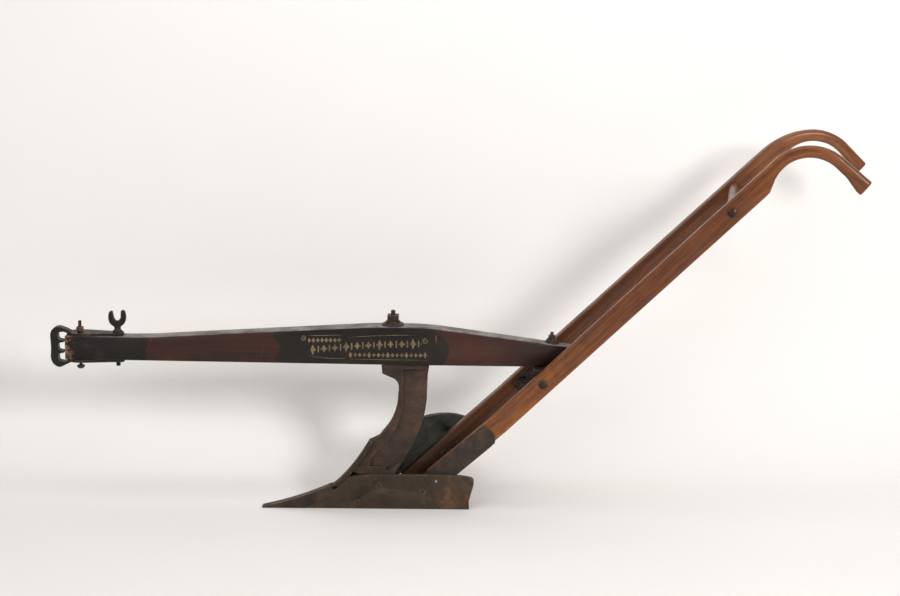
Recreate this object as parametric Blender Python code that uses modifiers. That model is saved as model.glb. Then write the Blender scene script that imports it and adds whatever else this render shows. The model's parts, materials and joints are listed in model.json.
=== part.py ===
"""Right-hand walking plow: wooden beam and handles on a cast-iron plow bottom.

Frame: +X towards the handles, +Y towards the furrow side, +Z up. The origin lies on the sole of the
landside, straight below the axis of the bolt that holds the beam to the standard. Metres.
"""
import math

import bmesh
import bpy
from mathutils import Matrix, Vector

# ---- Driving dimensions -----------------------------------------------------------------------------
GAP = 0.0003                    # air between two pieces that touch
JOINT = 0.0008                  # open joint line between the iron castings of the bottom

LANDSIDE_HEIGHT = 0.098
LANDSIDE_THICKNESS = 0.014
HEEL_REACH = 0.215              # heel behind the origin
SHARE_REACH = 0.366             # share point ahead of the origin
WING_REACH = 0.280              # wing of the share out from the landside
IRON_PLATE = 0.008              # moldboard and share thickness
SHIN_THICKNESS = 0.012
SHIN_WIDTH = 0.0295

STANDARD_HEIGHT = 0.401         # beam underside above the sole, at the standard bolt
STANDARD_THICKNESS = 0.042
STANDARD_RECESS = 0.015
FROG_PLATE = 0.010
FROG_RIB = 0.012

BEAM_Y = 0.075                  # beam centre line out from the landside
BEAM_PITCH = math.radians(0.55)  # front of the beam rises
BEAM_FRONT = 0.917
BEAM_TAIL = STANDARD_HEIGHT + 0.094   # the handles rise about as far as they run
BEAM_FRONT_DEPTH = 0.0667
BEAM_CROWN_DEPTH = 0.108
BEAM_TAIL_DEPTH = 0.0575
BEAM_FRONT_WIDTH = 0.050
BEAM_CROWN_WIDTH = 0.060
BEAM_TAIL_WIDTH = 0.045

CLEVIS_ARM = 0.008
CLEVIS_LOOP_WIDTH = 0.022
CLEVIS_PIN_X = 0.145 - BEAM_FRONT
CLEVIS_BOLT_X = 0.039 - BEAM_FRONT
CLEVIS_SWING = math.radians(8.0)
BOLT_LIFT = 0.0120              # slack of the front clevis bolt

HANDLE_DEPTH = 0.057
HANDLE_THICKNESS = 0.029
GRIP_DEPTH = 0.0325
GRIP_ROUND = 0.0110             # radius of the long edges along the bent grip
BAR_EASE = 0.0050               # and along the straight bar
GRIP_END = 0.047
END_SLANT = math.radians(10)    # how far the grip's end is cut off square
SHOULDER_RUN = 0.013            # slant between the bar's underside and the inside of the grip
LEFT_FOOT = Vector((0.177, 0.0131, 0.0))     # outer face where the left handle clears the landside
LEFT_SPREAD = math.radians(-7.69)
RIGHT_FOOT = Vector((0.200, 0.1375, 0.0))
RIGHT_SPREAD = math.radians(8.81)
SOCKET_PLATE = 0.005
SOCKET_LIP = 0.003
SEAT_PLATE = 0.012
SEAT_EAR = 0.008
SEAT_EAR_WIDTH = 0.040
RUNG_RADIUS = 0.0155

SMALL_BOLT = 0.0048             # radius of a 3/8 inch bolt
LARGE_BOLT = 0.0062
STUD_DEPTH = 0.0270             # how far the beam's stud runs into the standard's head
HOLE = 0.0004                   # radial clearance of a bolt in its hole
BEAM_SWING = math.radians(1.5)

WOOD_RED = (0.075, 0.026, 0.018)
WOOD_BROWN = (0.30, 0.115, 0.040)
RUST_IRON = (0.085, 0.052, 0.034)
DARK_IRON = (0.022, 0.022, 0.020)

# ---- Scene and materials ----------------------------------------------------------------------------
for old in list(bpy.data.objects):
    bpy.data.objects.remove(old)
parts = bpy.data.collections.new("walking_plow")
cutters = bpy.data.collections.new("cutters")
bpy.context.scene.collection.children.link(parts)
bpy.context.scene.collection.children.link(cutters)


def material(name, colour, roughness, metallic):
    made = bpy.data.materials.new(name)
    made.use_nodes = True
    shader = made.node_tree.nodes["Principled BSDF"]
    shader.inputs["Base Color"].default_value = (*colour, 1.0)
    shader.inputs["Roughness"].default_value = roughness
    shader.inputs["Metallic"].default_value = metallic
    return made


FINISH = {
    "red_wood": (WOOD_RED, 0.45, 0.0),
    "brown_wood": (WOOD_BROWN, 0.40, 0.0),
    "rust_iron": (RUST_IRON, 0.65, 0.6),
    "dark_iron": (DARK_IRON, 0.55, 0.6),
}


def add(name, mesh, finish, matrix=None):
    """A named part in the plow's collection, with a material of its own."""
    obj = bpy.data.objects.new(name, mesh)
    parts.objects.link(obj)
    if matrix is not None:
        obj.matrix_world = matrix
    mesh.materials.clear()
    mesh.materials.append(material(name + "_finish", *FINISH[finish]))
    return obj


def as_cutter(obj):
    """Takes an object out of the plow: it only shapes another piece."""
    for home in list(obj.users_collection):
        home.objects.unlink(obj)
    cutters.objects.link(obj)
    obj.hide_render = True
    obj.display_type = "WIRE"
    return obj


def mesh_from(bm, name):
    bmesh.ops.recalc_face_normals(bm, faces=bm.faces)
    mesh = bpy.data.meshes.new(name)
    bm.to_mesh(mesh)
    bm.free()
    return mesh


def boolean(obj, other, operation):
    step = obj.modifiers.new(operation.lower() + "_" + other.name, "BOOLEAN")
    step.operation = operation
    step.object = as_cutter(other)


def bevel(obj, width, segments=1, angle=40.0):
    step = obj.modifiers.new("edges", "BEVEL")
    step.width = width
    step.segments = segments
    step.limit_method = "ANGLE"
    step.angle_limit = math.radians(angle)


def smooth(obj, angle=35.0):
    obj.data.shade_smooth()
    obj.data.set_sharp_from_angle(angle=math.radians(angle))


# ---- Shapes -----------------------------------------------------------------------------------------
def bend(start, corner, end, steps=6):
    """Points of a quadratic arc that leaves start and reaches end tangent to the corner's two sides."""
    points = []
    for i in range(steps + 1):
        t = i / steps
        points.append(tuple((1 - t) ** 2 * a + 2 * t * (1 - t) * b + t * t * c
                            for a, b, c in zip(start, corner, end)))
    return points


def arc(centre, radius, start, end, steps):
    """Points round a centre between two angles from the level, in degrees."""
    return [(centre[0] + radius * math.cos(math.radians(start + (end - start) * i / steps)),
             centre[1] + radius * math.sin(math.radians(start + (end - start) * i / steps)))
            for i in range(steps + 1)]


def rounded(corners, steps=4):
    """An outline from (x, y, length) corners, each eased over that length of both its sides."""
    points = []
    for i, (x, y, length) in enumerate(corners):
        here = Vector((x, y))
        if not length:
            points.append((x, y))
            continue
        before = Vector(corners[i - 1][:2]) - here
        after = Vector(corners[(i + 1) % len(corners)][:2]) - here
        first = here + before.normalized() * min(length, 0.49 * before.length)
        last = here + after.normalized() * min(length, 0.49 * after.length)
        points += bend(first, here, last, steps)
    return points


def flat(name, outline, thickness, finish="dark_iron", matrix=None):
    """A plate cut to an outline: a filled 2D curve, half the thickness to each side, made a mesh."""
    curve = bpy.data.curves.new(name, "CURVE")
    curve.dimensions = "2D"
    curve.fill_mode = "BOTH"
    curve.extrude = thickness / 2
    spline = curve.splines.new("POLY")
    spline.points.add(len(outline) - 1)
    for point, place in zip(spline.points, outline):
        point.co = (place[0], place[1], 0, 1)
    spline.use_cyclic_u = True
    guide = bpy.data.objects.new(name + "_curve", curve)
    parts.objects.link(guide)
    graph = bpy.context.evaluated_depsgraph_get()
    mesh = bpy.data.meshes.new_from_object(guide.evaluated_get(graph))
    bpy.data.objects.remove(guide)
    bm = bmesh.new()
    bm.from_mesh(mesh)
    bmesh.ops.remove_doubles(bm, verts=bm.verts, dist=0.00002)
    bmesh.ops.dissolve_limit(bm, angle_limit=math.radians(0.5), verts=bm.verts, edges=bm.edges)
    if matrix is not None:
        bmesh.ops.transform(bm, matrix=matrix, verts=bm.verts)
    return add(name, mesh_from(bm, name), finish)


def upright(y):
    """Turns an outline drawn in X and Z onto the upright plane at this Y."""
    return Matrix.Translation((0, y, 0)) @ Matrix.Rotation(math.radians(90), 4, "X")


def level(z):
    return Matrix.Translation((0, 0, z))


def box(name, low, high, finish="dark_iron", matrix=None):
    low, high = Vector(low), Vector(high)
    bm = bmesh.new()
    size = Matrix.Diagonal((*(high - low), 1))
    bmesh.ops.create_cube(bm, size=1, matrix=Matrix.Translation((low + high) / 2) @ size)
    if matrix is not None:
        bmesh.ops.transform(bm, matrix=matrix, verts=bm.verts)
    return add(name, mesh_from(bm, name), finish)


def along(start, direction):
    """A frame at a point with its Z axis along a direction."""
    turn = Vector((0, 0, 1)).rotation_difference(Vector(direction)).to_matrix().to_4x4()
    return Matrix.Translation(start) @ turn


def prism(name, place, radius, low, high, sides, finish="dark_iron", turn=0.0):
    """A straight prism or cylinder between two heights of a frame."""
    bm = bmesh.new()
    matrix = place @ Matrix.Rotation(turn, 4, "Z") @ Matrix.Translation((0, 0, (low + high) / 2))
    bmesh.ops.create_cone(bm, cap_ends=True, segments=sides, radius1=radius, radius2=radius,
                          depth=high - low, matrix=matrix)
    return add(name, mesh_from(bm, name), finish)


def turned(name, place, profile, finish="dark_iron", steps=16):
    """A turned piece from (radius, height) points that run down its outer side, top to bottom."""
    mesh = bpy.data.meshes.new(name)
    bm = bmesh.new()
    points = [bm.verts.new((radius, 0, height)) for radius, height in profile]
    for a, b in zip(points, points[1:]):
        bm.edges.new((a, b))
    bm.to_mesh(mesh)
    bm.free()
    obj = add(name, mesh, finish, place)
    step = obj.modifiers.new("turn", "SCREW")
    step.steps = steps
    step.render_steps = steps
    step.use_merge_vertices = True
    step.merge_threshold = 0.00002
    return obj


def ring(name, place, inner, profile, finish="dark_iron", steps=20):
    """A turned ring: its outer profile, top to bottom, closed by a straight bore."""
    top, bottom = profile[0][1], profile[-1][1]
    return turned(name, place, [(inner, top), *profile, (inner, bottom), (inner, top)], finish, steps)


def loft(name, sections, finish):
    """Skins a row of sections that have equal numbers of points, and closes both ends."""
    bm = bmesh.new()
    rows = [[bm.verts.new(p) for p in section] for section in sections]
    count = len(rows[0])
    for a, b in zip(rows, rows[1:]):
        for i in range(count):
            j = (i + 1) % count
            bm.faces.new((a[i], a[j], b[j], b[i]))
    bm.faces.new(rows[0])
    bm.faces.new(rows[-1])
    bmesh.ops.triangulate(bm, faces=bm.faces, quad_method="FIXED")
    return add(name, mesh_from(bm, name), finish)


def drill(obj, place, radius, low, high, sides=16):
    boolean(obj, prism(obj.name + "_drill", place, radius, low, high, sides), "DIFFERENCE")


def bolt(name, place, radius, head, length, finish="dark_iron"):
    """A bolt whose (radius, height) head profile starts at its top; the shank runs down its frame."""
    profile = [(0, head[0][1]), *head, (radius, head[-1][1]), (radius, -length), (0, -length)]
    obj = turned(name, place, profile, finish, steps=14)
    smooth(obj)
    return obj


def nut(name, place, radius, across, low, high, sides=4, finish="dark_iron"):
    """A nut, square or hexagonal, measured across its flats."""
    corner = across / 2 / math.cos(math.pi / sides)
    obj = prism(name, place, corner, low, high, sides, finish, turn=math.pi / sides)
    drill(obj, place, radius + HOLE, low - 0.01, high + 0.01)
    return obj


# ---- Curves shared by the iron bottom ---------------------------------------------------------------
def bezier(controls, t):
    a, b, c, d = (Vector(p) for p in controls)
    s = 1 - t
    return s ** 3 * a + 3 * s * s * t * b + 3 * s * t * t * c + t ** 3 * d


def patch(net, s, t):
    return bezier([bezier(row, s) for row in net], t)


SIDE_Y = -LANDSIDE_THICKNESS / 2
SHIN_BACK = SIDE_Y + SHIN_WIDTH          # furrow side of the shin piece and of the share's gunnel
PLATE_Y = SHIN_BACK + 0.001              # where moldboard and share blade begin
SEAM = Vector((-0.1755, 0, 0.0650))        # top of the seam between share and shin
SEAM_FOOT = Vector((-0.164, 0, 0.054))   # foot of that seam, where the landside begins
SOLE_FRONT = Vector((-0.242, 0, 0.0))    # front of the landside's sole
SHIN_TOP = Vector((-0.064, 0, 2 * LANDSIDE_HEIGHT - 0.002))

SHARE_NET = (
    ((-SHARE_REACH, PLATE_Y, 0.0018), (-0.268, 0.095, 0.003),
     (-0.160, 0.34 * WING_REACH + 0.095, 0.003), (-0.050, WING_REACH, 0.003)),
    ((-0.298, PLATE_Y, 0.0165), (-0.222, 0.100, 0.011),
     (-0.120, 0.34 * WING_REACH + 0.100, 0.012), (-0.025, WING_REACH + 0.002, 0.010)),
    ((-0.232, PLATE_Y, 0.0380), (-0.170, 0.100, 0.030),
     (-0.085, 0.34 * WING_REACH + 0.098, 0.025), (0.000, WING_REACH + 0.004, 0.019)),
    ((SEAM.x, PLATE_Y, SEAM.z), (-0.120, 0.096, 0.054),
     (-0.048, 0.34 * WING_REACH + 0.096, 0.043), (0.025, WING_REACH + 0.005, 0.030)),
)
MOLDBOARD_NET = (
    ((-0.1706, PLATE_Y, 0.0622), (-0.117, 0.097, 0.0555),
     (-0.045, 0.34 * WING_REACH + 0.097, 0.0450), (0.028, WING_REACH + 0.006, 0.0320)),
    ((-0.126, PLATE_Y, 0.098), (-0.060, 0.110, 0.098),
     (0.030, 0.34 * WING_REACH + 0.120, 0.078), (0.140, WING_REACH + 0.048, 0.046)),
    ((-0.090, PLATE_Y, 0.148), (-0.014, 0.104, 0.158),
     (0.085, 0.34 * WING_REACH + 0.116, 0.172), (0.215, WING_REACH + 0.062, 0.098)),
    ((SHIN_TOP.x, PLATE_Y, SHIN_TOP.z), (0.012, 0.086, 0.212),
     (0.136, 0.34 * WING_REACH + 0.088, 0.280), (0.245, WING_REACH + 0.036, 0.157)),
)
SHIN_CURVE = [Vector((row[0][0], 0, row[0][2])) for row in MOLDBOARD_NET]


def shin_line(depth, steps=10):
    """Points of the shin's front edge in X and Z, set back by a depth, from its foot to its top."""
    points = []
    for i in range(steps + 1):
        t = i / steps
        here = bezier(SHIN_CURVE, t)
        ahead = bezier(SHIN_CURVE, min(t + 0.01, 1)) - bezier(SHIN_CURVE, max(t - 0.01, 0))
        back = Vector((ahead.z, 0, -ahead.x)).normalized()
        place = here + back * depth
        points.append((place.x, place.z))
    return points


def behind(point, line_foot, line_top, distance):
    """True for an X-Z point that lies this far behind the slanting line through two points."""
    run = (line_top - line_foot).normalized()
    away = Vector((run.z, 0, -run.x))
    return (Vector((point[0], 0, point[1])) - line_foot).dot(away) >= distance


def bottom_front(offset, height=LANDSIDE_HEIGHT):
    """The front boundary of what stands behind share and shin, from the sole up to a height."""
    line = [p for p in shin_line(SHIN_THICKNESS + offset, 16)
            if behind(p, SEAM_FOOT, SEAM, offset) and p[1] <= height]
    return [(SOLE_FRONT.x + 1.6 * offset, SOLE_FRONT.z), (SEAM_FOOT.x + 1.2 * offset, SEAM_FOOT.z), *line]


def plate_points(net, s, t):
    """Front and back point of the iron plate over a patch; the end at the shin keeps to its plane."""
    step = 0.01
    front = patch(net, s, t)
    across = patch(net, s + step, t) - patch(net, s - step, t)
    up = patch(net, s, t + step) - patch(net, s, t - step)
    back = up.cross(across).normalized()
    if back.x < 0:
        back.negate()
    back.y *= min(1.0, max(0.0, s / 0.25))
    return front, back.normalized()


def plate(name, net, spans, near, far, finish):
    """A plate between two distances behind a patch, over part of its length and height."""
    (s0, s1, columns), (t0, t1, rows) = spans
    sections = []
    for i in range(columns + 1):
        s = s0 + (s1 - s0) * i / columns
        line = [plate_points(net, s, t0 + (t1 - t0) * k / rows) for k in range(rows + 1)]
        sections.append([p + n * near for p, n in line] + [p + n * far for p, n in reversed(line)])
    return loft(name, sections, finish)


# ---- Iron bottom ------------------------------------------------------------------------------------
def make_landside():
    top, heel = LANDSIDE_HEIGHT, HEEL_REACH
    front = bottom_front(JOINT)
    rear = rounded([(-0.070, top, 0), (heel - 0.030, top, 0.030), (heel + 0.013, top - 0.008, 0.010),
                    (heel + 0.013, top - 0.026, 0.010), (heel + 0.005, 0.044, 0.020),
                    (heel - 0.0015, 0.020, 0.010), (heel, 0.0, 0)], steps=3)
    obj = flat("landside", [*front, *rear], LANDSIDE_THICKNESS, "rust_iron", upright(0))
    bevel(obj, 0.0012)
    return obj


def make_shin():
    front = [p for p in shin_line(0) if behind(p, SEAM_FOOT, SEAM, GAP)]
    rear = [p for p in shin_line(SHIN_THICKNESS) if behind(p, SEAM_FOOT, SEAM, JOINT)]
    obj = flat("shin_piece", [*front, *reversed(rear)], SHIN_WIDTH, "rust_iron",
               upright(SIDE_Y + SHIN_WIDTH / 2))
    bevel(obj, 0.0010)
    return obj


def make_share():
    """Gunnel against the landside, and a blade that thins to its edge, as one loft."""
    rows, columns = 8, 12
    sections = []
    for y in (SIDE_Y, SHIN_BACK):
        top = [patch(SHARE_NET, 0, k / rows) for k in range(rows + 1)]
        upper = [Vector((p.x, y, p.z)) for p in top]
        sole = [Vector((SOLE_FRONT.x + (0.002 - SHARE_REACH - SOLE_FRONT.x) * k / (rows - 1), y, 0))
                for k in range(rows)]
        sections.append(upper + [Vector((SEAM_FOOT.x, y, SEAM_FOOT.z))] + sole)
    for i in range(columns + 1):
        top = [patch(SHARE_NET, i / columns, k / rows) for k in range(rows + 1)]
        under = []
        for k, p in enumerate(top):
            deep = 0.003 + (IRON_PLATE - 0.003) * min(1, 3 * k / rows)
            under.append(Vector((p.x, p.y, max(p.z - deep, 0.0))))
        sections.append(top + under[::-1])
    return loft("share", sections, "rust_iron")


# Spans of a plate: from, to and number of columns, then of rows. The spaces run a row past the seam.
WHOLE = ((0, 1, 14), (0, 1, 10))
MOLDBOARD_SPACE = ((0, 1, 14), (-0.1, 1, 11))
SHARE_SPACE = ((0, 1, 12), (0, 1.125, 9))


def make_moldboard():
    return plate("moldboard", MOLDBOARD_NET, WHOLE, 0, IRON_PLATE, "dark_iron")


def lean(obj, foot, slope):
    """Shears a piece so that it leans to the furrow side above a height."""
    for vertex in obj.data.vertices:
        vertex.co.y += max(0.0, vertex.co.z - foot) * slope


def make_standard():
    """Channel-shaped column that leans out to the beam, on a frog that backs moldboard and share."""
    wall = LANDSIDE_THICKNESS / 2 + GAP
    foot = LANDSIDE_HEIGHT + 0.002
    slope = (BEAM_Y - STANDARD_THICKNESS / 2 - wall) / (STANDARD_HEIGHT - foot)
    tilt = math.tan(BEAM_PITCH)
    top_front, top_rear = -0.031, 0.103
    head = STANDARD_HEIGHT - GAP
    rise = head - foot
    outline = [(top_front, head - top_front * tilt), (top_front + 0.002, head - 0.025),
               (top_front + 0.013, head - 0.030), (0.006, head - 0.040)]
    outline += bend((0.008, head - 0.042), (0.019, head - 0.048), (0.0175, head - 0.072), 3)
    outline += bend((0.0165, foot + 0.748 * rise), (0.0140, foot + 0.44 * rise),
                    (-0.052, foot + 0.302 * rise), 8)
    outline += [(-0.064, foot + 0.285 * rise), (-0.098, 0.132), (-0.114, foot + 0.0040),
                (-0.084, foot - 0.0050), (-0.084, 0.012), (-0.030, 0.012),
                (0.000, LANDSIDE_HEIGHT - 0.011)]
    outline += bend((0.019, foot + 0.064 * rise), (0.098, foot + 0.418 * rise),
                    (0.095, foot + 0.735 * rise), 8)
    outline += [(0.097, head - 0.035), (top_rear, head - top_rear * tilt)]
    column = flat("standard", outline, STANDARD_THICKNESS, "rust_iron",
                  upright(wall + STANDARD_THICKNESS / 2))
    recess = [(0.030, head - 0.013), (0.030, foot + 0.70 * rise)]
    recess += bend((0.029, foot + 0.70 * rise), (0.028, foot + 0.42 * rise), (-0.030, foot + 0.25 * rise), 6)
    recess += [(-0.060, foot + 0.13 * rise), (-0.068, foot + 0.010), (-0.010, foot + 0.006),
               (0.130, foot + 0.4 * rise), (0.130, head - 0.013)]
    pocket = flat("standard_recess", recess, 2 * STANDARD_RECESS, "rust_iron", upright(wall))
    for piece in (column, pocket):
        bm = bmesh.new()
        bm.from_mesh(piece.data)
        bmesh.ops.bisect_plane(bm, geom=[*bm.verts, *bm.edges, *bm.faces], plane_co=(0, 0, foot),
                               plane_no=(0, 0, 1))
        bm.to_mesh(piece.data)
        bm.free()
        lean(piece, foot, slope)
    boolean(column, pocket, "DIFFERENCE")

    front = bottom_front(0.0025)
    wall_rear = [(-0.060, LANDSIDE_HEIGHT + 0.004), (-0.040, 0.012), (-0.215, 0.012)]
    side = flat("frog_side", [*front[1:], *wall_rear], FROG_PLATE, "rust_iron",
                upright(wall + FROG_PLATE / 2 + GAP))
    back = IRON_PLATE + 3 * GAP
    upper = plate("frog_upper", MOLDBOARD_NET, ((0.04, 0.50, 8), (0.03, 0.70, 6)), back,
                  back + FROG_PLATE, "rust_iron")
    lower = plate("frog_lower", SHARE_NET, ((0.06, 0.50, 8), (0.50, 0.965, 4)), back + 0.001,
                  back + FROG_PLATE, "rust_iron")
    boolean(column, side, "UNION")
    for height, front_x in ((0.043, -0.175), (0.112, -0.10)):
        rib = flat("frog_rib", [(front_x, wall + GAP), (-0.02, wall + GAP), (0.005, 0.05), (0.03, 0.16),
                                (front_x, 0.16)], FROG_RIB, "rust_iron", level(height))
        boolean(column, rib, "UNION")
    boolean(column, upper, "UNION")
    boolean(column, lower, "UNION")
    for name, net, spans, reach in (("moldboard_space", MOLDBOARD_NET, MOLDBOARD_SPACE, 0.12),
                                    ("share_space", SHARE_NET, SHARE_SPACE, 0.10)):
        boolean(column, plate(name, net, spans, -reach, back, "dark_iron"), "DIFFERENCE")
    ahead = [*bottom_front(JOINT, 1.0), (SHIN_TOP.x + 0.0135, SHIN_TOP.z + 0.0005),
             (SHIN_TOP.x, SHIN_TOP.z + 0.010), (-0.5, SHIN_TOP.z + 0.010), (-0.5, -0.05)]
    shin_space = flat("shin_space", ahead, 0.06, "dark_iron", upright(PLATE_Y + JOINT - 0.03))
    boolean(column, shin_space, "DIFFERENCE")
    return column


# ---- Beam and hitch: drawn in the beam's own frame, with its underside at height 0 ------------------
BEAM_FRAME = Matrix.Translation((0, BEAM_Y, STANDARD_HEIGHT)) @ Matrix.Rotation(BEAM_PITCH, 4, "Y")


def beam_depth(x):
    """Depth of the beam at a place along it: level front, straight rise, level crown, straight fall."""
    rise_from, rise_to = 0.227 - BEAM_FRONT, -0.055
    fall_from, ease = 0.095, 0.10
    up = (BEAM_CROWN_DEPTH - BEAM_FRONT_DEPTH) / (rise_to - rise_from)
    down = (BEAM_CROWN_DEPTH - BEAM_TAIL_DEPTH) / (BEAM_TAIL - fall_from)

    def ramp(distance):
        """0 before a corner and the distance after it, eased over a short length."""
        if distance <= -ease / 2:
            return 0.0
        if distance >= ease / 2:
            return distance
        return (distance + ease / 2) ** 2 / (2 * ease)

    return (BEAM_FRONT_DEPTH + up * (ramp(x - rise_from) - ramp(x - rise_to))
            - down * ramp(x - fall_from))


def beam_width(x):
    if x < 0:
        return BEAM_CROWN_WIDTH + (BEAM_FRONT_WIDTH - BEAM_CROWN_WIDTH) * min(1, x / -0.75)
    return BEAM_CROWN_WIDTH + (BEAM_TAIL_WIDTH - BEAM_CROWN_WIDTH) * min(1, x / BEAM_TAIL)


def beam_frame(x, height=0.0):
    return BEAM_FRAME @ Matrix.Translation((x, 0, height))


def on_axis(x):
    """The beam's frame moved along it, so that a moving piece has its origin on its joint's axis."""
    return beam_frame(x)


def make_beam():
    stations = 44
    sections = []
    for i in range(stations + 1):
        x = -BEAM_FRONT + (BEAM_FRONT + BEAM_TAIL) * i / stations
        half, deep = beam_width(x) / 2, beam_depth(x)
        sections.append([(x, -half, 0), (x, half, 0), (x, half, deep), (x, -half, deep)])
    obj = loft("beam", sections, "red_wood")
    bm = bmesh.new()
    bm.from_mesh(obj.data)
    bmesh.ops.join_triangles(bm, faces=bm.faces, angle_face_threshold=0.2, angle_shape_threshold=0.6)
    bm.to_mesh(obj.data)
    bm.free()
    obj.matrix_world = BEAM_FRAME
    bevel(obj, 0.0025, 2, 60)
    for x, radius in ((CLEVIS_PIN_X, LARGE_BOLT), (CLEVIS_BOLT_X, SMALL_BOLT), (0.0, LARGE_BOLT),
                      (TAIL_BOLT_X, SMALL_BOLT)):
        drill(obj, beam_frame(x), radius + HOLE, -0.05, 0.2)
    return obj


TAIL_BOLT_X = BEAM_TAIL - 0.0525


def make_standard_bolt():
    top = beam_depth(0.0)
    washer = ring("standard_washer", on_axis(0), LARGE_BOLT + HOLE,
                  [(0.024, top + 0.0075), (0.0285, top + 0.0062), (0.031, top + 0.0030),
                   (0.031, top + GAP)])
    smooth(washer)
    base = top + 0.0075 + GAP
    collar = ring("standard_collar", on_axis(0), LARGE_BOLT + HOLE,
                  [(0.0170, base + 0.0060), (0.0205, base + 0.0045), (0.0210, base)])
    smooth(collar)
    low = base + 0.0060 + GAP
    nut("standard_nut", on_axis(0), LARGE_BOLT, 0.0310, low, low + 0.0155)
    stud = turned("standard_bolt", on_axis(0),
                  [(0, low + 0.0285), (LARGE_BOLT - 0.001, low + 0.0285), (LARGE_BOLT, low + 0.0270),
                   (LARGE_BOLT, -STUD_DEPTH), (0, -STUD_DEPTH)], "dark_iron", 14)
    smooth(stud)


def make_tail_bolt():
    slope = math.atan((beam_depth(TAIL_BOLT_X) - beam_depth(TAIL_BOLT_X - 0.02)) / 0.02)
    top = beam_depth(TAIL_BOLT_X)
    washer = ring("tail_washer", on_axis(TAIL_BOLT_X), SMALL_BOLT + HOLE,
                  [(0.0120, top + 0.0130), (0.0145, top + 0.0110), (0.0190, top + 0.0055),
                   (0.0210, top + 0.0020), (0.0210, top - 0.0080)])
    seat = box("beam_top", (-0.05, -0.05, -0.05), (0.05, 0.05, 0),
               matrix=Matrix.Translation((0, 0, top + GAP)) @ Matrix.Rotation(-slope, 4, "Y"))
    seat.matrix_world = on_axis(TAIL_BOLT_X)
    boolean(washer, seat, "DIFFERENCE")
    low = top + 0.0130 + GAP
    nut("tail_nut", on_axis(TAIL_BOLT_X), SMALL_BOLT, 0.0200, low, low + 0.0085)
    under = -(SEAT_PLATE + 2 * GAP)
    stud = turned("tail_bolt", on_axis(TAIL_BOLT_X),
                  [(0, low + 0.0180), (SMALL_BOLT - 0.001, low + 0.0180), (SMALL_BOLT, low + 0.0165),
                   (SMALL_BOLT, under), (0.0125, under), (0.0125, under - 0.005), (0.006, under - 0.009),
                   (0, under - 0.009)], "dark_iron", 16)
    smooth(stud)


def clevis_slot(radius):
    """Outline of an arc slot round the hitch pin, with round ends, that lets the clevis swing."""
    reach = CLEVIS_PIN_X - CLEVIS_BOLT_X
    swing = math.degrees(CLEVIS_SWING) + 0.4
    pin = (CLEVIS_PIN_X, 0)
    ends = [(pin[0] - reach * math.cos(math.radians(swing)), side * reach * math.sin(math.radians(swing)))
            for side in (-1, 1)]
    outline = arc(pin, reach + radius, 180 + swing, 180 - swing, 8)
    outline += arc(ends[1], radius, 180 - swing, -swing, 6)[1:-1]
    outline += arc(pin, reach - radius, 180 - swing, 180 + swing, 8)
    outline += arc(ends[0], radius, swing, swing - 180, 6)[1:-1]
    return outline


def make_clevis():
    """Upright hitch loop with three notches, and two arms that clip the beam from above and below."""
    deep = BEAM_FRONT_DEPTH
    front = -BEAM_FRONT - 0.0445
    bar = -BEAM_FRONT - 0.0215
    cusp = -BEAM_FRONT - 0.0055
    rear = -BEAM_FRONT + 0.020
    middle = deep / 2
    pitch = 0.0305
    notch = 0.0110
    notch_flat = 0.006
    outer = rounded([(rear, deep + CLEVIS_ARM, 0), (cusp - 0.001, deep + 0.0210, 0.030),
                     (bar - 0.004, deep + 0.0250, 0.030), (front - 0.0005, deep + 0.0100, 0.040),
                     (front + 0.0035, middle, 0.040), (front - 0.0005, -0.0100, 0.040),
                     (bar, -0.0290, 0.030), (cusp + 0.004, -0.0185, 0.030),
                     (rear, -CLEVIS_ARM, 0)], 5)
    inner = [(rear, -GAP)]
    for i in (-1, 0, 1):
        height = middle + i * pitch
        inner += [(cusp, height - notch - 0.001)] if i == -1 else []
        for sign in (-1, 1):
            corner = bend((bar + 0.007, height + sign * notch), (bar, height + sign * notch),
                          (bar, height + sign * notch_flat / 2), 4)
            inner += corner[::-sign]
        inner += [(cusp, height + pitch / 2 - 0.0025), (cusp, height + pitch / 2 + 0.0025)] if i < 1 else []
    inner += [(cusp, middle + pitch + notch + 0.001), (rear, deep + GAP)]
    loop = flat("clevis", [*outer, *inner], CLEVIS_LOOP_WIDTH, "dark_iron", upright(0))
    for name, low in (("upper_arm", deep + GAP), ("lower_arm", -CLEVIS_ARM - GAP)):
        arm = flat(name, rounded([(-BEAM_FRONT + 0.004, -0.014, 0.004), (CLEVIS_BOLT_X - 0.012, -0.029, 0.010),
                                  (CLEVIS_BOLT_X + 0.016, -0.029, 0.012),
                                  (CLEVIS_PIN_X - 0.018, -0.016, 0.012), (CLEVIS_PIN_X + 0.018, -0.016, 0.015),
                                  (CLEVIS_PIN_X + 0.018, 0.016, 0.015), (CLEVIS_PIN_X - 0.018, 0.016, 0.012),
                                  (CLEVIS_BOLT_X + 0.016, 0.029, 0.012), (CLEVIS_BOLT_X - 0.012, 0.029, 0.010),
                                  (-BEAM_FRONT + 0.004, 0.014, 0.004)]),
                   CLEVIS_ARM, "dark_iron", level(low + CLEVIS_ARM / 2))
        boolean(loop, arm, "UNION")
    drill(loop, Matrix.Translation((CLEVIS_PIN_X, 0, 0)), LARGE_BOLT + HOLE, -0.05, 0.12)
    slot = flat("clevis_slot", clevis_slot(SMALL_BOLT + HOLE), 0.2, "dark_iron", level(deep / 2))
    boolean(loop, slot, "DIFFERENCE")
    to_axis = Matrix.Translation((-CLEVIS_PIN_X, 0, 0))
    for piece in (loop, *(step.object for step in loop.modifiers)):
        piece.data.transform(to_axis @ piece.matrix_world)
        piece.matrix_world = on_axis(CLEVIS_PIN_X)
    return loop


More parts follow.
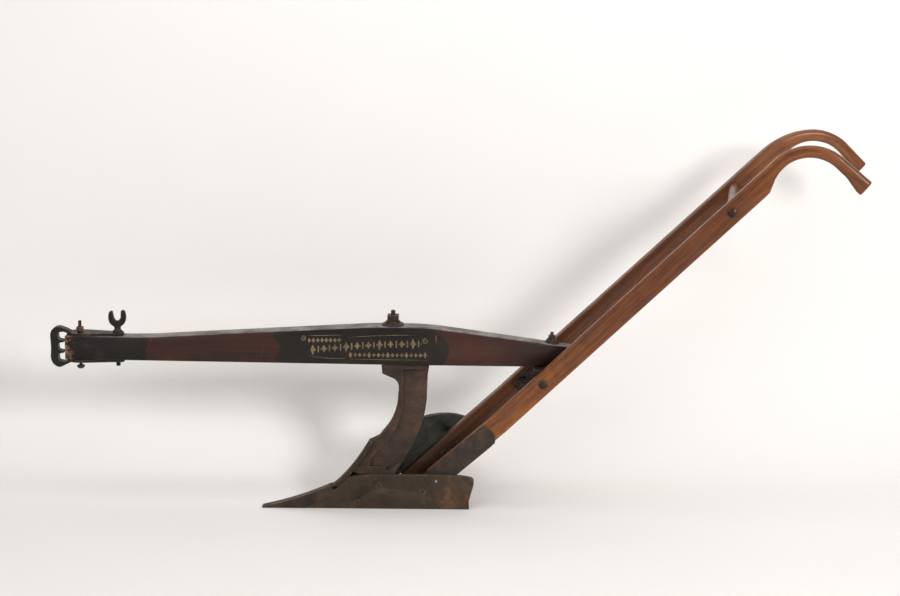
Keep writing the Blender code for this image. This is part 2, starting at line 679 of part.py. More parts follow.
def make_clevis_bolt():
    arm_top = BEAM_FRONT_DEPTH + GAP + CLEVIS_ARM
    place = on_axis(CLEVIS_BOLT_X)
    collar = ring("clevis_collar", place, SMALL_BOLT + HOLE,
                  [(0.0075, arm_top + GAP + 0.0040), (0.0082, arm_top + GAP)])
    smooth(collar)
    low = arm_top + 0.0040 + 2 * GAP
    nut("clevis_nut", place, SMALL_BOLT, 0.0180, low, low + 0.0090)
    head = -(CLEVIS_ARM + GAP + BOLT_LIFT + 0.0012)
    stud = turned("clevis_bolt", place,
                  [(0, low + 0.0270), (SMALL_BOLT - 0.001, low + 0.0270), (SMALL_BOLT, low + 0.0255),
                   (SMALL_BOLT, head), (0.0110, head), (0.0110, head - 0.004), (0.0070, head - 0.0085),
                   (0, head - 0.0095)], "dark_iron", 14)
    smooth(stud)


def make_wrench_pin():
    """Hitch pin whose upper end is forged into an open wrench, so the tool stays with the plow."""
    arm_top = BEAM_FRONT_DEPTH + GAP + CLEVIS_ARM
    place = on_axis(CLEVIS_PIN_X)
    low = arm_top + GAP
    jaw = rounded([(-0.0095, low + 0.004, 0), (0.0095, low + 0.004, 0), (0.0075, low + 0.0160, 0.008),
                   (0.0195, low + 0.0225, 0.012), (0.0260, low + 0.0400, 0.012), (0.0215, low + 0.0630, 0.006),
                   (0.0110, low + 0.0630, 0.004), (0.0098, low + 0.042, 0.003), (0.0045, low + 0.0330, 0.003),
                   (-0.0045, low + 0.0330, 0.003), (-0.0098, low + 0.042, 0.003),
                   (-0.0130, low + 0.0610, 0.004), (-0.0225, low + 0.0595, 0.006),
                   (-0.0260, low + 0.038, 0.012), (-0.0195, low + 0.0215, 0.012),
                   (-0.0075, low + 0.0160, 0.008)], 3)
    obj = flat("wrench_pin", jaw, 0.011, "dark_iron", upright(0))
    obj.matrix_world = place
    bevel(obj, 0.0012)
    shank = turned("wrench_shank", place, [(0, low + 0.012), (0.0070, low + 0.012), (0.0100, low + 0.0065),
                                           (0.0140, low + 0.0045), (0.0140, low), (LARGE_BOLT, low),
                                           (LARGE_BOLT, -0.0200), (LARGE_BOLT - 0.0015, -0.0215),
                                           (0, -0.0215)])
    boolean(obj, shank, "UNION")
    return obj


def make_beam_rivet():
    """Small rivet through the beam's front, as against splitting, with its head on the left side."""
    x, height = 0.085 - BEAM_FRONT, 0.036
    half = beam_width(x) / 2
    place = BEAM_FRAME @ Matrix.Translation((x, 0, height)) @ Matrix.Rotation(math.radians(90), 4, "X")
    drill(bpy.data.objects["beam"], place, 0.0030 + HOLE, -0.05, 0.05, 12)
    obj = turned("beam_rivet", place, [(0, half + 0.0022), (0.0040, half + 0.0018), (0.0058, half + GAP),
                                       (0.0030, half + GAP), (0.0030, -half), (0, -half)], "dark_iron", 12)
    smooth(obj)


# ---- Handles: outlines drawn in each handle's own upright plane -------------------------------------
def handle_frame(foot, spread):
    """X runs along the handle on the level, Y is up, Z points to the left of the plow."""
    return Matrix.Translation(foot) @ Matrix.Rotation(spread, 4, "Z") @ Matrix.Rotation(math.radians(90), 4, "X")


LEFT_FRAME = handle_frame(LEFT_FOOT, LEFT_SPREAD)
RIGHT_FRAME = handle_frame(RIGHT_FOOT, RIGHT_SPREAD)

# Each side: angle of the straight bar, apex of the grip, bend radius before and after it, foot start
LEFT = {"angle": math.radians(44.4), "apex": (0.9455, 1.0400), "front": 0.1320, "back": 0.1320, "inner": 0.0995,
        "droop": math.radians(40), "tip": 0.0990, "foot": -0.0820, "sag": math.radians(2.6)}
RIGHT = {"angle": math.radians(41.7), "apex": (0.9820, 1.0355), "front": 0.2067, "back": 0.1450, "inner": 0.1000,
         "droop": math.radians(45), "tip": 0.0793, "foot": -0.1850, "sag": math.radians(0.8)}
KNEE = 0.10


def bar_top(side, u):
    """Height of the upper edge of the straight bar at a place along the handle's plane."""
    apex_u, apex_z = side["apex"]
    tangent_u = apex_u - side["front"] * math.sin(side["angle"])
    tangent_z = apex_z - side["front"] * (1 - math.cos(side["angle"]))
    knee_z = tangent_z - (tangent_u - KNEE) * math.tan(side["angle"])
    if u >= KNEE:
        return tangent_z - (tangent_u - u) * math.tan(side["angle"])
    return knee_z - (KNEE - u) * math.tan(side["angle"] - side["sag"])


def bar_centre(side, u):
    return bar_top(side, u) - HANDLE_DEPTH / 2 / math.cos(side["angle"])


def handle_outline(side):
    """Straight bar, shoulder, bent grip and flared end."""
    apex_u, apex_z = side["apex"]
    angle, droop = math.degrees(side["angle"]), math.degrees(side["droop"])
    front, back = side["front"], side["back"]
    front_centre = (apex_u, apex_z - front)
    back_centre = (apex_u, apex_z - back)
    upper = [(side["foot"], bar_top(side, side["foot"])), (KNEE, bar_top(side, KNEE))]
    upper += arc(front_centre, front, 90 + angle, 90, 9)
    upper += arc(back_centre, back, 90, 90 - droop, 7)[1:]
    down = Vector((math.cos(side["droop"]), -math.sin(side["droop"])))
    tip = Vector(upper[-1]) + down * side["tip"]
    upper.append(tuple(tip))
    cut = side["droop"] + END_SLANT
    heel = tip + Vector((-math.sin(cut), -math.cos(cut))) * GRIP_END
    waist = tip - down * side["tip"] * 0.6 + Vector((down.y, -down.x)) * (GRIP_DEPTH + 0.0015)
    along_bar = Vector((math.cos(side["angle"]), math.sin(side["angle"])))
    square = Vector((along_bar.y, -along_bar.x)) * HANDLE_DEPTH
    knee = Vector((KNEE, bar_top(side, KNEE))) + square
    foot = Vector((side["foot"], bar_top(side, side["foot"]))) + square
    inner = side["inner"]
    inner_centre = Vector((apex_u, apex_z - GRIP_DEPTH - inner))
    under = (knee - inner_centre).dot(Vector((-along_bar.y, along_bar.x)))
    shoulder = 90 + angle + math.degrees(math.acos(under / inner)) - 2.0
    lower = [(waist.x, waist.y), *arc(back_centre, back - GRIP_DEPTH, 90 - droop, 90, 6)]
    lower += arc(inner_centre, inner, 90, shoulder, 12)[1:]
    on_bar = along_bar.dot(Vector(lower[-1]) - knee) - SHOULDER_RUN
    step = knee + along_bar * on_bar
    return [*upper, (heel.x, heel.y), *lower, (step.x, step.y), (knee.x, knee.y), (foot.x, foot.y)]


def make_handle(name, side, frame, offset):
    obj = flat(name, handle_outline(side), HANDLE_THICKNESS, "brown_wood")
    obj.data.transform(Matrix.Translation((0, 0, offset)))
    obj.matrix_world = frame
    grip_start = side["apex"][0] - side["front"] * math.sin(side["angle"])
    bm = bmesh.new()
    bm.from_mesh(obj.data)
    weight = bm.edges.layers.float.new("bevel_weight_edge")
    for edge in bm.edges:
        a, b = (vertex.co for vertex in edge.verts)
        if abs(a.z - b.z) < 0.00001 and edge.calc_face_angle(0) > math.radians(60):
            edge[weight] = 1.0 if min(a.x, b.x) > grip_start else BAR_EASE / GRIP_ROUND
    bm.to_mesh(obj.data)
    bm.free()
    step = obj.modifiers.new("edges", "BEVEL")
    step.width = GRIP_ROUND
    step.segments = 3
    step.limit_method = "WEIGHT"
    smooth(obj, 40)
    return obj


def point_on(side, frame, u, drop=0.0, out=0.0):
    """A place on a handle's centre line, out from the plane of its frame."""
    return frame @ Vector((u, bar_centre(side, u) - drop, out))


def handle_bar(name, side, frame, span, low, high, width, offset=0.0):
    """A round-ended bar that lies along a handle between two places, low to high out of its plane."""
    start, end = (Vector((u, bar_centre(side, u) + offset)) for u in span)
    run = (end - start).normalized()
    square = Vector((-run.y, run.x)) * (width / 2)
    outline = []
    for centre, way in ((start, -1), (end, 1)):
        for i in range(9):
            turn = math.pi * i / 8
            outline.append(tuple(centre + way * (run * math.sin(turn) * width / 2 - square * math.cos(turn))))
    return flat(name, outline, high - low, "dark_iron", frame @ level((low + high) / 2))


def make_socket():
    """Iron socket of the left handle: side plate, lip under the wood and foot against the landside."""
    span = (-0.100, 0.091)
    low, high = GAP, GAP + SOCKET_PLATE
    half = HANDLE_DEPTH / 2 / math.cos(LEFT["angle"])
    edge = [(span[0], bar_centre(LEFT, span[0]) + half - 0.0015)]
    edge += [(span[1] - 0.016, bar_centre(LEFT, span[1] - 0.016) + half - 0.0015)]
    edge += bend(edge[-1], (span[1] + 0.026, bar_centre(LEFT, span[1]) + 0.010),
                 (span[1] + 0.020, bar_centre(LEFT, span[1] + 0.020) - half - SOCKET_LIP), 7)[1:]
    edge += [(span[0] + 0.042, bar_centre(LEFT, span[0] + 0.042) - half - SOCKET_LIP)]
    obj = flat("handle_socket", edge, SOCKET_PLATE, "dark_iron", LEFT_FRAME @ level((low + high) / 2))
    lip_top = -half - 2 * GAP
    lip = []
    for u, deep in ((span[0] + 0.050, 0), (span[1] + 0.010, 0), (span[1] + 0.010, 1), (span[0] + 0.044, 1)):
        lip.append((u, bar_centre(LEFT, u) + lip_top - deep * SOCKET_LIP))
    shelf = flat("socket_lip", lip, HANDLE_THICKNESS + SOCKET_PLATE, "dark_iron",
                 LEFT_FRAME @ level(high - (HANDLE_THICKNESS + SOCKET_PLATE) / 2 - 0.001))
    boolean(obj, shelf, "UNION")
    wall = LANDSIDE_THICKNESS / 2 + GAP
    skew = math.tan(LEFT_SPREAD)
    x0, x1 = LEFT_FOOT.x - 0.118, LEFT_FOOT.x - 0.022

    def middle(x):
        return LEFT_FOOT.y + skew * (x - LEFT_FOOT.x) - GAP - SOCKET_PLATE / 2

    block = flat("socket_foot", [(x0, wall), (x1, wall), (x1, middle(x1)), (x0, middle(x0))], 0.058,
                 "dark_iron", level(0.059))
    boolean(obj, block, "UNION")
    return obj


def make_seat():
    """Cross casting under the beam's tail: a slotted plate with an ear bolted inside each handle."""
    x0, x1 = TAIL_BOLT_X - 0.050, TAIL_BOLT_X + 0.036
    inside = HANDLE_THICKNESS + GAP

    def left_y(x):
        return LEFT_FOOT.y + math.tan(LEFT_SPREAD) * (x - LEFT_FOOT.x) + inside / math.cos(LEFT_SPREAD)

    def right_y(x):
        return (RIGHT_FOOT.y + math.tan(RIGHT_SPREAD) * (x - RIGHT_FOOT.x)
                - inside / math.cos(RIGHT_SPREAD))

    margin = SEAT_EAR / 2
    outline = [(x0, left_y(x0) + margin), (x1, left_y(x1) + margin), (x1, right_y(x1) - margin),
               (x0, right_y(x0) - margin)]
    local = [(x, y - BEAM_Y) for x, y in outline]
    obj = flat("beam_seat", local, SEAT_PLATE, "dark_iron", BEAM_FRAME @ level(-GAP - SEAT_PLATE / 2))
    for name, side, frame, u, sign in (("seat_ear_left", LEFT, LEFT_FRAME, SEAT_LEFT_U, -1),
                                       ("seat_ear_right", RIGHT, RIGHT_FRAME, SEAT_RIGHT_U, 1)):
        low = -(inside + SEAT_EAR) if sign < 0 else inside
        ear = handle_bar(name, side, frame, (u - 0.010, u + 0.060), low, low + SEAT_EAR, SEAT_EAR_WIDTH)
        boolean(obj, ear, "UNION")
    reach = TAIL_BOLT_X * math.tan(BEAM_SWING)
    slot_end = reach + SMALL_BOLT + 0.0012
    slot = flat("seat_slot", rounded([(-SMALL_BOLT - 0.0012, -slot_end, 0.005), (SMALL_BOLT + 0.0012, -slot_end, 0.005),
                                      (SMALL_BOLT + 0.0012, slot_end, 0.005), (-SMALL_BOLT - 0.0012, slot_end, 0.005)]),
                0.06, "dark_iron", beam_frame(TAIL_BOLT_X))
    boolean(obj, slot, "DIFFERENCE")
    return obj


SEAT_LEFT_U = (STANDARD_HEIGHT + 0.017 - LEFT_FOOT.x) / math.cos(LEFT_SPREAD)
SEAT_RIGHT_U = (STANDARD_HEIGHT - 0.039 - RIGHT_FOOT.x) / math.cos(RIGHT_SPREAD)
RUNG_LEFT_U = (0.916 - LEFT_FOOT.x) / math.cos(LEFT_SPREAD)
RUNG_RIGHT_U = (0.958 - RIGHT_FOOT.x) / math.cos(RIGHT_SPREAD)
BRACKET_U = (0.180 - RIGHT_FOOT.x) / math.cos(RIGHT_SPREAD)


def make_rung():
    """Round wooden rung between the handles, and the rod that clamps them on it."""
    left = point_on(LEFT, LEFT_FRAME, RUNG_LEFT_U, out=0)
    right = point_on(RIGHT, RIGHT_FRAME, RUNG_RIGHT_U, out=0)
    run = right - left
    place = along(left, run)
    rung = prism("handle_rung", place, RUNG_RADIUS, 0, run.length, 20, "brown_wood")
    for name, frame, low, high in (("left_space", LEFT_FRAME, -HANDLE_THICKNESS - GAP, 0.1),
                                   ("right_space", RIGHT_FRAME, -0.1, HANDLE_THICKNESS + GAP)):
        boolean(rung, box(name, (0.5, 0.5, low), (1.0, 1.2, high), matrix=frame), "DIFFERENCE")
    smooth(rung)
    rod_radius = SMALL_BOLT
    for piece, far in ((rung, run.length), (bpy.data.objects["handle_left"], 0.2),
                       (bpy.data.objects["handle_right"], run.length)):
        drill(piece, place, rod_radius + HOLE, far - 0.45 if piece is rung else far - 0.30, far + 0.10, 14)
    rod = turned("rung_rod", place,
                 [(0, run.length + 0.0200), (rod_radius, run.length + 0.0200),
                  (rod_radius, -0.0030), (0.0120, -0.0030), (0.0120, -0.0052), (0.0078, -0.0078),
                  (0, -0.0092)], "dark_iron", 16)
    smooth(rod)
    nut("rung_nut", place, rod_radius, 0.0180, run.length + 0.0048, run.length + 0.0138)
    return rung


def cross_bolt(name, target, direction, pieces, head, length, radius=SMALL_BOLT, nut_at=None, across=0.018):
    """A bolt through some pieces, with a round head, and a square nut at a distance down its shank."""
    place = along(target, -Vector(direction))
    for piece in pieces:
        drill(bpy.data.objects[piece], place, radius + HOLE, -length - 0.03, 0.03)
    bolt(name, place, radius, head, length)
    if nut_at is not None:
        nut(name + "_nut", place, radius, across, -nut_at - 0.008, -nut_at)


ROUND_HEAD = [(0.0060, 0.0062), (0.0110, 0.0035), (0.0130, 0.0006)]


def make_handle_bolts():
    """Bolts of the handles: two through the beam seat, and two that hold the right one to its bracket."""
    left_way = LEFT_FRAME.to_3x3() @ Vector((0, 0, -1))
    right_way = RIGHT_FRAME.to_3x3() @ Vector((0, 0, -1))
    stack = HANDLE_THICKNESS + 2 * GAP + SEAT_EAR
    cross_bolt("seat_bolt_left", point_on(LEFT, LEFT_FRAME, SEAT_LEFT_U), left_way,
               ("handle_left", "beam_seat"), ROUND_HEAD, stack + 0.012, nut_at=stack + GAP)
    cross_bolt("seat_bolt_right", point_on(RIGHT, RIGHT_FRAME, SEAT_RIGHT_U), -right_way,
               ("handle_right", "beam_seat"), ROUND_HEAD, stack + 0.012, nut_at=stack + GAP)
    plate_stack = HANDLE_THICKNESS + GAP + BRACKET_PLATE
    for name, shift, drop in (("bracket_bolt_upper", -0.001, 0.018), ("bracket_bolt_lower", -0.043, 0.010)):
        target = point_on(RIGHT, RIGHT_FRAME, BRACKET_U + shift, drop, HANDLE_THICKNESS)
        cross_bolt(name, target, right_way, ("handle_right", "handle_bracket"), ROUND_HEAD,
                   plate_stack + 0.012, nut_at=plate_stack + GAP)


BRACKET_PLATE = 0.006


def make_bracket():
    """Iron bracket that carries the right handle's foot on the back of the moldboard."""
    obj = handle_bar("handle_bracket", RIGHT, RIGHT_FRAME, (BRACKET_U - 0.062, BRACKET_U + 0.030),
                     -(BRACKET_PLATE + GAP), -GAP, 0.044, -0.012)
    centre = point_on(RIGHT, RIGHT_FRAME, BRACKET_U - 0.021, 0.012, -BRACKET_PLATE / 2)
    arm = box("bracket_arm", (centre.x - 0.0055, centre.y, centre.z - 0.010),
              (centre.x + 0.0055, centre.y + 0.16, centre.z + 0.010))
    boolean(obj, arm, "UNION")
    boolean(obj, plate("moldboard_front", MOLDBOARD_NET, WHOLE, -0.12, IRON_PLATE + 3 * GAP, "dark_iron"),
            "DIFFERENCE")
    return obj


# ---- Flush bolts of the iron bottom -----------------------------------------------------------------
def flush_bolt(name, target, direction, pieces, head_radius, head_deep, length, nut_at):
    """A plow bolt whose round head lies level with the iron, square nut behind."""
    place = along(target, -Vector(direction))
    first = bpy.data.objects[pieces[0]]
    drill(first, place, head_radius + HOLE, -head_deep - GAP, 0.02, 20)
    for piece in pieces:
        drill(bpy.data.objects[piece], place, SMALL_BOLT + HOLE, -length - 0.02, 0.0)
    bolt(name, place, SMALL_BOLT, [(head_radius, -0.0002), (head_radius, -head_deep)], length)
    nut(name + "_nut", place, SMALL_BOLT, 0.017, -nut_at - 0.008, -nut_at)


def make_bottom_bolts():
    inward = Vector((0, 1, 0))
    for name, x, height, backing in (("landside_bolt_upper", -0.038, 0.069, STANDARD_THICKNESS),
                                     ("landside_bolt_lower", -0.099, 0.019, FROG_PLATE)):
        stack = LANDSIDE_THICKNESS + backing + 4 * GAP
        flush_bolt(name, (x, SIDE_Y, height), inward, ("landside", "standard"), 0.0072, 0.006,
                   stack + 0.013, stack)
    flush_bolt("landside_bolt_rear", (0.084, SIDE_Y, 0.050), inward, ("landside", "handle_socket"),
               0.0075, 0.006, 0.050, 0.0375)
    for name, net, s, t in (("moldboard_bolt_front", MOLDBOARD_NET, 0.25, 0.30),
                            ("moldboard_bolt_rear", MOLDBOARD_NET, 0.42, 0.26),
                            ("share_bolt", SHARE_NET, 0.30, 0.78)):
        target, back = plate_points(net, s, t)
        owner = "share" if net is SHARE_NET else "moldboard"
        stack = IRON_PLATE + FROG_PLATE + 6 * GAP
        flush_bolt(name, target, back, (owner, "standard"), 0.0095, 0.0045, stack + 0.013, stack)


def make_landside_rivet():
    """Bright-ended rivet in the rear of the landside."""
    place = along((0.123, SIDE_Y, 0.081), (0, -1, 0))
    drill(bpy.data.objects["landside"], place, 0.0030 + HOLE, -0.03, 0.01, 12)
    obj = turned("landside_rivet", place, [(0, 0.0006), (0.0030, 0.0002), (0.0030, -LANDSIDE_THICKNESS),
                                           (0, -LANDSIDE_THICKNESS)], "dark_iron", 12)
    smooth(obj)


# ---- The whole plow ---------------------------------------------------------------------------------
make_landside()
make_shin()
make_share()
make_moldboard()
make_standard()
make_beam()
make_beam_rivet()
make_standard_bolt()
make_tail_bolt()
make_clevis()
make_clevis_bolt()
make_wrench_pin()
make_handle("handle_left", LEFT, LEFT_FRAME, -HANDLE_THICKNESS / 2)
make_handle("handle_right", RIGHT, RIGHT_FRAME, HANDLE_THICKNESS / 2)
make_socket()
make_seat()
make_bracket()
make_rung()
make_handle_bolts()
make_bottom_bolts()
make_landside_rivet()
drill(bpy.data.objects["standard"], on_axis(0), LARGE_BOLT + HOLE, -STUD_DEPTH - 0.0010, 0.02)
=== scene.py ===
# %% [markdown]
# # A walking plow
#
# This lesson dresses the finished solids of a horse-drawn walking plow: a painted wooden beam, two
# varnished handles, and a plow bottom of cast iron. The solids come in as a fixed frame. Each step
# says what a piece or a finish is on the real plow, how it could be made, and why it is made this way.

# %% Load the frame
import json
import math

import bmesh
import bpy
from mathutils import Matrix, Vector

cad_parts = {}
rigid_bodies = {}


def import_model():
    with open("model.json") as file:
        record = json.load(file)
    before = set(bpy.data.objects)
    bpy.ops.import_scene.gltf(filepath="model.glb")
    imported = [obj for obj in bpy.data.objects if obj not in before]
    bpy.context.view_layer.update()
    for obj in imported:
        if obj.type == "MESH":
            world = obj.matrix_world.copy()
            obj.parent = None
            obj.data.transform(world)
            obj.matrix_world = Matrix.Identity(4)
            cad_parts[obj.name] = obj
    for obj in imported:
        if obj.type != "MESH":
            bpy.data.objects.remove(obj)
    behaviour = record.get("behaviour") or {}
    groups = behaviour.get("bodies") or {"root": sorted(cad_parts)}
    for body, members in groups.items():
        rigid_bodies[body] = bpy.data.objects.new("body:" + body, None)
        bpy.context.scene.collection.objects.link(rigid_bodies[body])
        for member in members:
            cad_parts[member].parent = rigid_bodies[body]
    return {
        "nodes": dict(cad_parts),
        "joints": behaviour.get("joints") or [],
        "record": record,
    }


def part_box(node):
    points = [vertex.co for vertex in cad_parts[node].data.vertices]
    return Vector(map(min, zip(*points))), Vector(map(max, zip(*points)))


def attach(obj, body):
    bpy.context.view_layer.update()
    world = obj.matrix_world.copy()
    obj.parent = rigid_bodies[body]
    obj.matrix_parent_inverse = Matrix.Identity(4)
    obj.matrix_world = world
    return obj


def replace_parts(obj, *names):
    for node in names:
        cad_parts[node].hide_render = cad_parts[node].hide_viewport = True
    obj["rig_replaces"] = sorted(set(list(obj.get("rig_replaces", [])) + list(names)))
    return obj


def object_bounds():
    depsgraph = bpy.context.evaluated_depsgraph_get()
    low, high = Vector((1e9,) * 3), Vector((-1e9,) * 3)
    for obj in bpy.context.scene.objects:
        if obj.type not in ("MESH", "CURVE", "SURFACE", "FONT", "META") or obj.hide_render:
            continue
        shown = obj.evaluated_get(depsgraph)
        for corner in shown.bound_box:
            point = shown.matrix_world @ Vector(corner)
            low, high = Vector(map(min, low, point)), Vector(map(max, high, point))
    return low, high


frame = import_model()
cad_bounds = [list(corner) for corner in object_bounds()]
bodies = frame["record"]["behaviour"]["bodies"]
body_of = {node: body for body, members in bodies.items() for node in members}
print("nodes:", len(frame["nodes"]), "box:", cad_bounds)

# %% [markdown]
# ## Camera
#
# A long lens from far off keeps the beam and the handles almost in true proportion, as in a catalogue
# view. A short lens close by would make the near handle look much larger than the far one.

# %% Place the camera
LENS_MM = 80.7
CAMERA_PLACE = (0.322, -5.4, 1.751)
CAMERA_TILT = math.radians(78.0)
CAMERA_TURN = math.radians(1.7)

camera_data = bpy.data.cameras.new("camera")
camera_data.lens = LENS_MM
camera = bpy.data.objects.new("camera", camera_data)
camera.location = CAMERA_PLACE
camera.rotation_euler = (CAMERA_TILT, 0.0, CAMERA_TURN)
bpy.context.scene.collection.objects.link(camera)
bpy.context.scene.camera = camera

# %% [markdown]
# ## Floor and backdrop
#
# The plow stands on pale paper that sweeps up behind it, so no line shows where floor and wall meet.
# Two planes would leave that line. One sheet bent along a quarter circle, shaded smooth, has none.

# %% Helpers for materials
def material(name):
    """A new material with its node tree and its Principled BSDF."""
    made = bpy.data.materials.new(name)
    made.use_nodes = True
    return made, made.node_tree, made.node_tree.nodes["Principled BSDF"]


def put(tree, kind, values=None, **settings):
    """Adds a node. Values pair an input with a plain value or with the socket that feeds it."""
    node = tree.nodes.new("ShaderNode" + kind)
    for key, value in settings.items():
        setattr(node, key, value)
    for key, value in (values or {}).items():
        if isinstance(value, bpy.types.NodeSocket):
            tree.links.new(value, node.inputs[key])
        else:
            node.inputs[key].default_value = value
    return node


def sum_of(tree, operation, first, second=0.0, third=0.0):
    """One step of arithmetic. MULTIPLY_ADD takes all three values, SINE and ABSOLUTE one."""
    return put(tree, "Math", {0: first, 1: second, 2: third}, operation=operation).outputs[0]


def times(tree, first, second):
    return sum_of(tree, "MULTIPLY", first, second)


def remap(tree, value, low, high, to_low=0.0, to_high=1.0):
    """Stretches low..high to another span, and clamps what lies beyond."""
    values = {"Value": value, "From Min": low, "From Max": high, "To Min": to_low, "To Max": to_high}
    return put(tree, "MapRange", values).outputs[0]


def mixed(tree, share, first, second, mode="MIX"):
    """A colour between two, by a share of the second."""
    node = put(tree, "Mix", {0: share, 6: first, 7: second}, data_type="RGBA", blend_type=mode)
    return node.outputs[2]


def noise(tree, place, scale, detail=4.0, roughness=0.55, distortion=0.0):
    values = {"Vector": place, "Scale": scale, "Detail": detail, "Roughness": roughness,
              "Distortion": distortion}
    return put(tree, "TexNoise", values).outputs[0]


def colour(red, green, blue):
    """A display colour, 0 to 255, as the linear light that the shader works in."""
    def linear(value):
        value /= 255.0
        return value / 12.92 if value <= 0.04045 else ((value + 0.055) / 1.055) ** 2.4

    return (linear(red), linear(green), linear(blue), 1.0)


# %% Build the sweep
SWEEP_WIDTH = 16.0
SWEEP_FRONT = -9.0
SWEEP_BEND = 0.20               # where the paper starts to rise, close behind the plow
SWEEP_RADIUS = 0.40
SWEEP_TOP = 7.0
SWEEP_STEPS = 24
FLOOR_DROP = 0.0006             # keeps the paper just under the iron
PAPER_SHADES = ((0.85, 0.825, 0.805, 1), (0.90, 0.885, 0.87, 1))


def sweep_line():
    """Points of the paper's edge in Y and Z, from the front up to its top."""
    low = cad_bounds[0][2] - FLOOR_DROP
    line = [(SWEEP_FRONT, low), (SWEEP_BEND, low)]
    for i in range(1, SWEEP_STEPS + 1):
        turn = math.pi / 2 * i / SWEEP_STEPS
        back, rise = math.sin(turn), 1 - math.cos(turn)
        line.append((SWEEP_BEND + SWEEP_RADIUS * back, low + SWEEP_RADIUS * rise))
    return [*line, (SWEEP_BEND + SWEEP_RADIUS, SWEEP_TOP)]


def make_sweep():
    line = sweep_line()
    points = [(x, y, z) for x in (-SWEEP_WIDTH / 2, SWEEP_WIDTH / 2) for y, z in line]
    count = len(line)
    faces = [(i, i + count, i + count + 1, i + 1) for i in range(count - 1)]
    mesh = bpy.data.meshes.new("sweep")
    mesh.from_pydata(points, [], faces)
    mesh.shade_smooth()
    sweep = bpy.data.objects.new("sweep", mesh)
    bpy.context.scene.collection.objects.link(sweep)
    paper, tree, shader = material("paper")
    place = put(tree, "TexCoord").outputs["Object"]
    tooth = noise(tree, place, 1.3, 3.0)
    tree.links.new(mixed(tree, tooth, *PAPER_SHADES), shader.inputs["Base Color"])
    shader.inputs["Roughness"].default_value = 0.75
    # The back of the paper is clear to the camera, so that the plow can be looked at from behind.
    seen = put(tree, "LightPath").outputs["Is Camera Ray"]
    reverse = put(tree, "NewGeometry").outputs["Backfacing"]
    clear = put(tree, "BsdfTransparent").outputs[0]
    output = next(n for n in tree.nodes if n.type == "OUTPUT_MATERIAL")
    cleared = times(tree, seen, reverse)
    both = put(tree, "MixShader", {0: cleared, 1: shader.outputs[0], 2: clear})
    tree.links.new(both.outputs[0], output.inputs["Surface"])
    mesh.materials.append(paper)
    return sweep


make_sweep()

# %% [markdown]
# ## Light
#
# Soft studio light comes from large panels. A high one from the right gives the long highlights on
# varnish and on the beam's top. A broad one in front fills the shadows of the dark iron, and the pale
# surroundings do the rest. Small lamps would give hard shadows that hide the castings.

# %% Hang the lights
# Name, place, what it looks at, width and height, power, colour
PANELS = (
    ("key", (3.3, -4.2, 2.6), (0.3, 0.3, 0.4), (1.2, 1.2), 190.0, (1.0, 0.985, 0.97)),
    ("fill", (-2.4, -4.2, 2.3), (-0.3, 0.2, 0.3), (2.8, 2.8), 66.0, (1.0, 0.99, 0.985)),
    ("overhead", (0.0, -0.6, 3.6), (0.1, 0.1, 0.3), (4.0, 1.4), 34.0, (1.0, 0.995, 0.985)),
)
SURROUND = (1.0, 0.99, 0.975, 1.0)
SURROUND_STRENGTH = 0.17

# A plain display transform keeps the pale paper pale and the dark iron dark.
bpy.context.scene.view_settings.view_transform = "Standard"

for name, place, target, size, power, tint in PANELS:
    lamp = bpy.data.lights.new(name, "AREA")
    lamp.shape = "RECTANGLE"
    lamp.size, lamp.size_y = size
    lamp.energy = power
    lamp.color = tint
    panel = bpy.data.objects.new(name, lamp)
    panel.location = place
    aim = Vector(target) - Vector(place)
    panel.rotation_euler = aim.to_track_quat("-Z", "Y").to_euler()
    bpy.context.scene.collection.objects.link(panel)

world = bpy.data.worlds.new("surroundings")
world.use_nodes = True
world.node_tree.nodes["Background"].inputs["Color"].default_value = SURROUND
world.node_tree.nodes["Background"].inputs["Strength"].default_value = SURROUND_STRENGTH
bpy.context.scene.world = world

# %% [markdown]
# ## Shared effects
#
# Wood grain, worn edges, patches of rust, dust and cast skin turn up in several finishes; on the beam's
# top the dust is also lightened into a painted sheen. Each is a node group with named inputs, built once
# and placed with other values in each material. Copies of the same nodes in every material would drift
# apart as one is changed and the others aren't.

# %% Start a group
FLOAT, VECTOR = "NodeSocketFloat", "NodeSocketVector"


def group(name, inputs, outputs):
    """An empty shader group with (name, kind, value) inputs and (name, kind) outputs."""
    tree = bpy.data.node_groups.new(name, "ShaderNodeTree")
    for label, kind, value in inputs:
        socket = tree.interface.new_socket(name=label, in_out="INPUT", socket_type=kind)
        if value is not None:
            socket.default_value = value
    for label, kind in outputs:
        tree.interface.new_socket(name=label, in_out="OUTPUT", socket_type=kind)
    start = tree.nodes.new("NodeGroupInput")
    end = tree.nodes.new("NodeGroupOutput")
    return tree, start.outputs, end.inputs


def place_group(tree, made, values):
    """Puts a group in a material, with values or sockets for its inputs."""
    node = tree.nodes.new("ShaderNodeGroup")
    node.node_tree = made
    for key, value in values.items():
        if isinstance(value, bpy.types.NodeSocket):
            tree.links.new(value, node.inputs[key])
        else:
            node.inputs[key].default_value = value
    return node.outputs


# %% [markdown]
# ### Grain
#
# Straight-grained ash shows year rings as long soft streaks, and fine open pores as short dark dashes
# along them. Both come from noise that is squeezed across the board and stretched along it. Its input
# is a place whose first number runs along the wood, so that the same grain can follow a bent handle.

# %% Grain group
PORE_STRETCH = 45.0             # how much longer than wide a pore is
RING_SWAY = 0.035               # how far the rings wander across the board


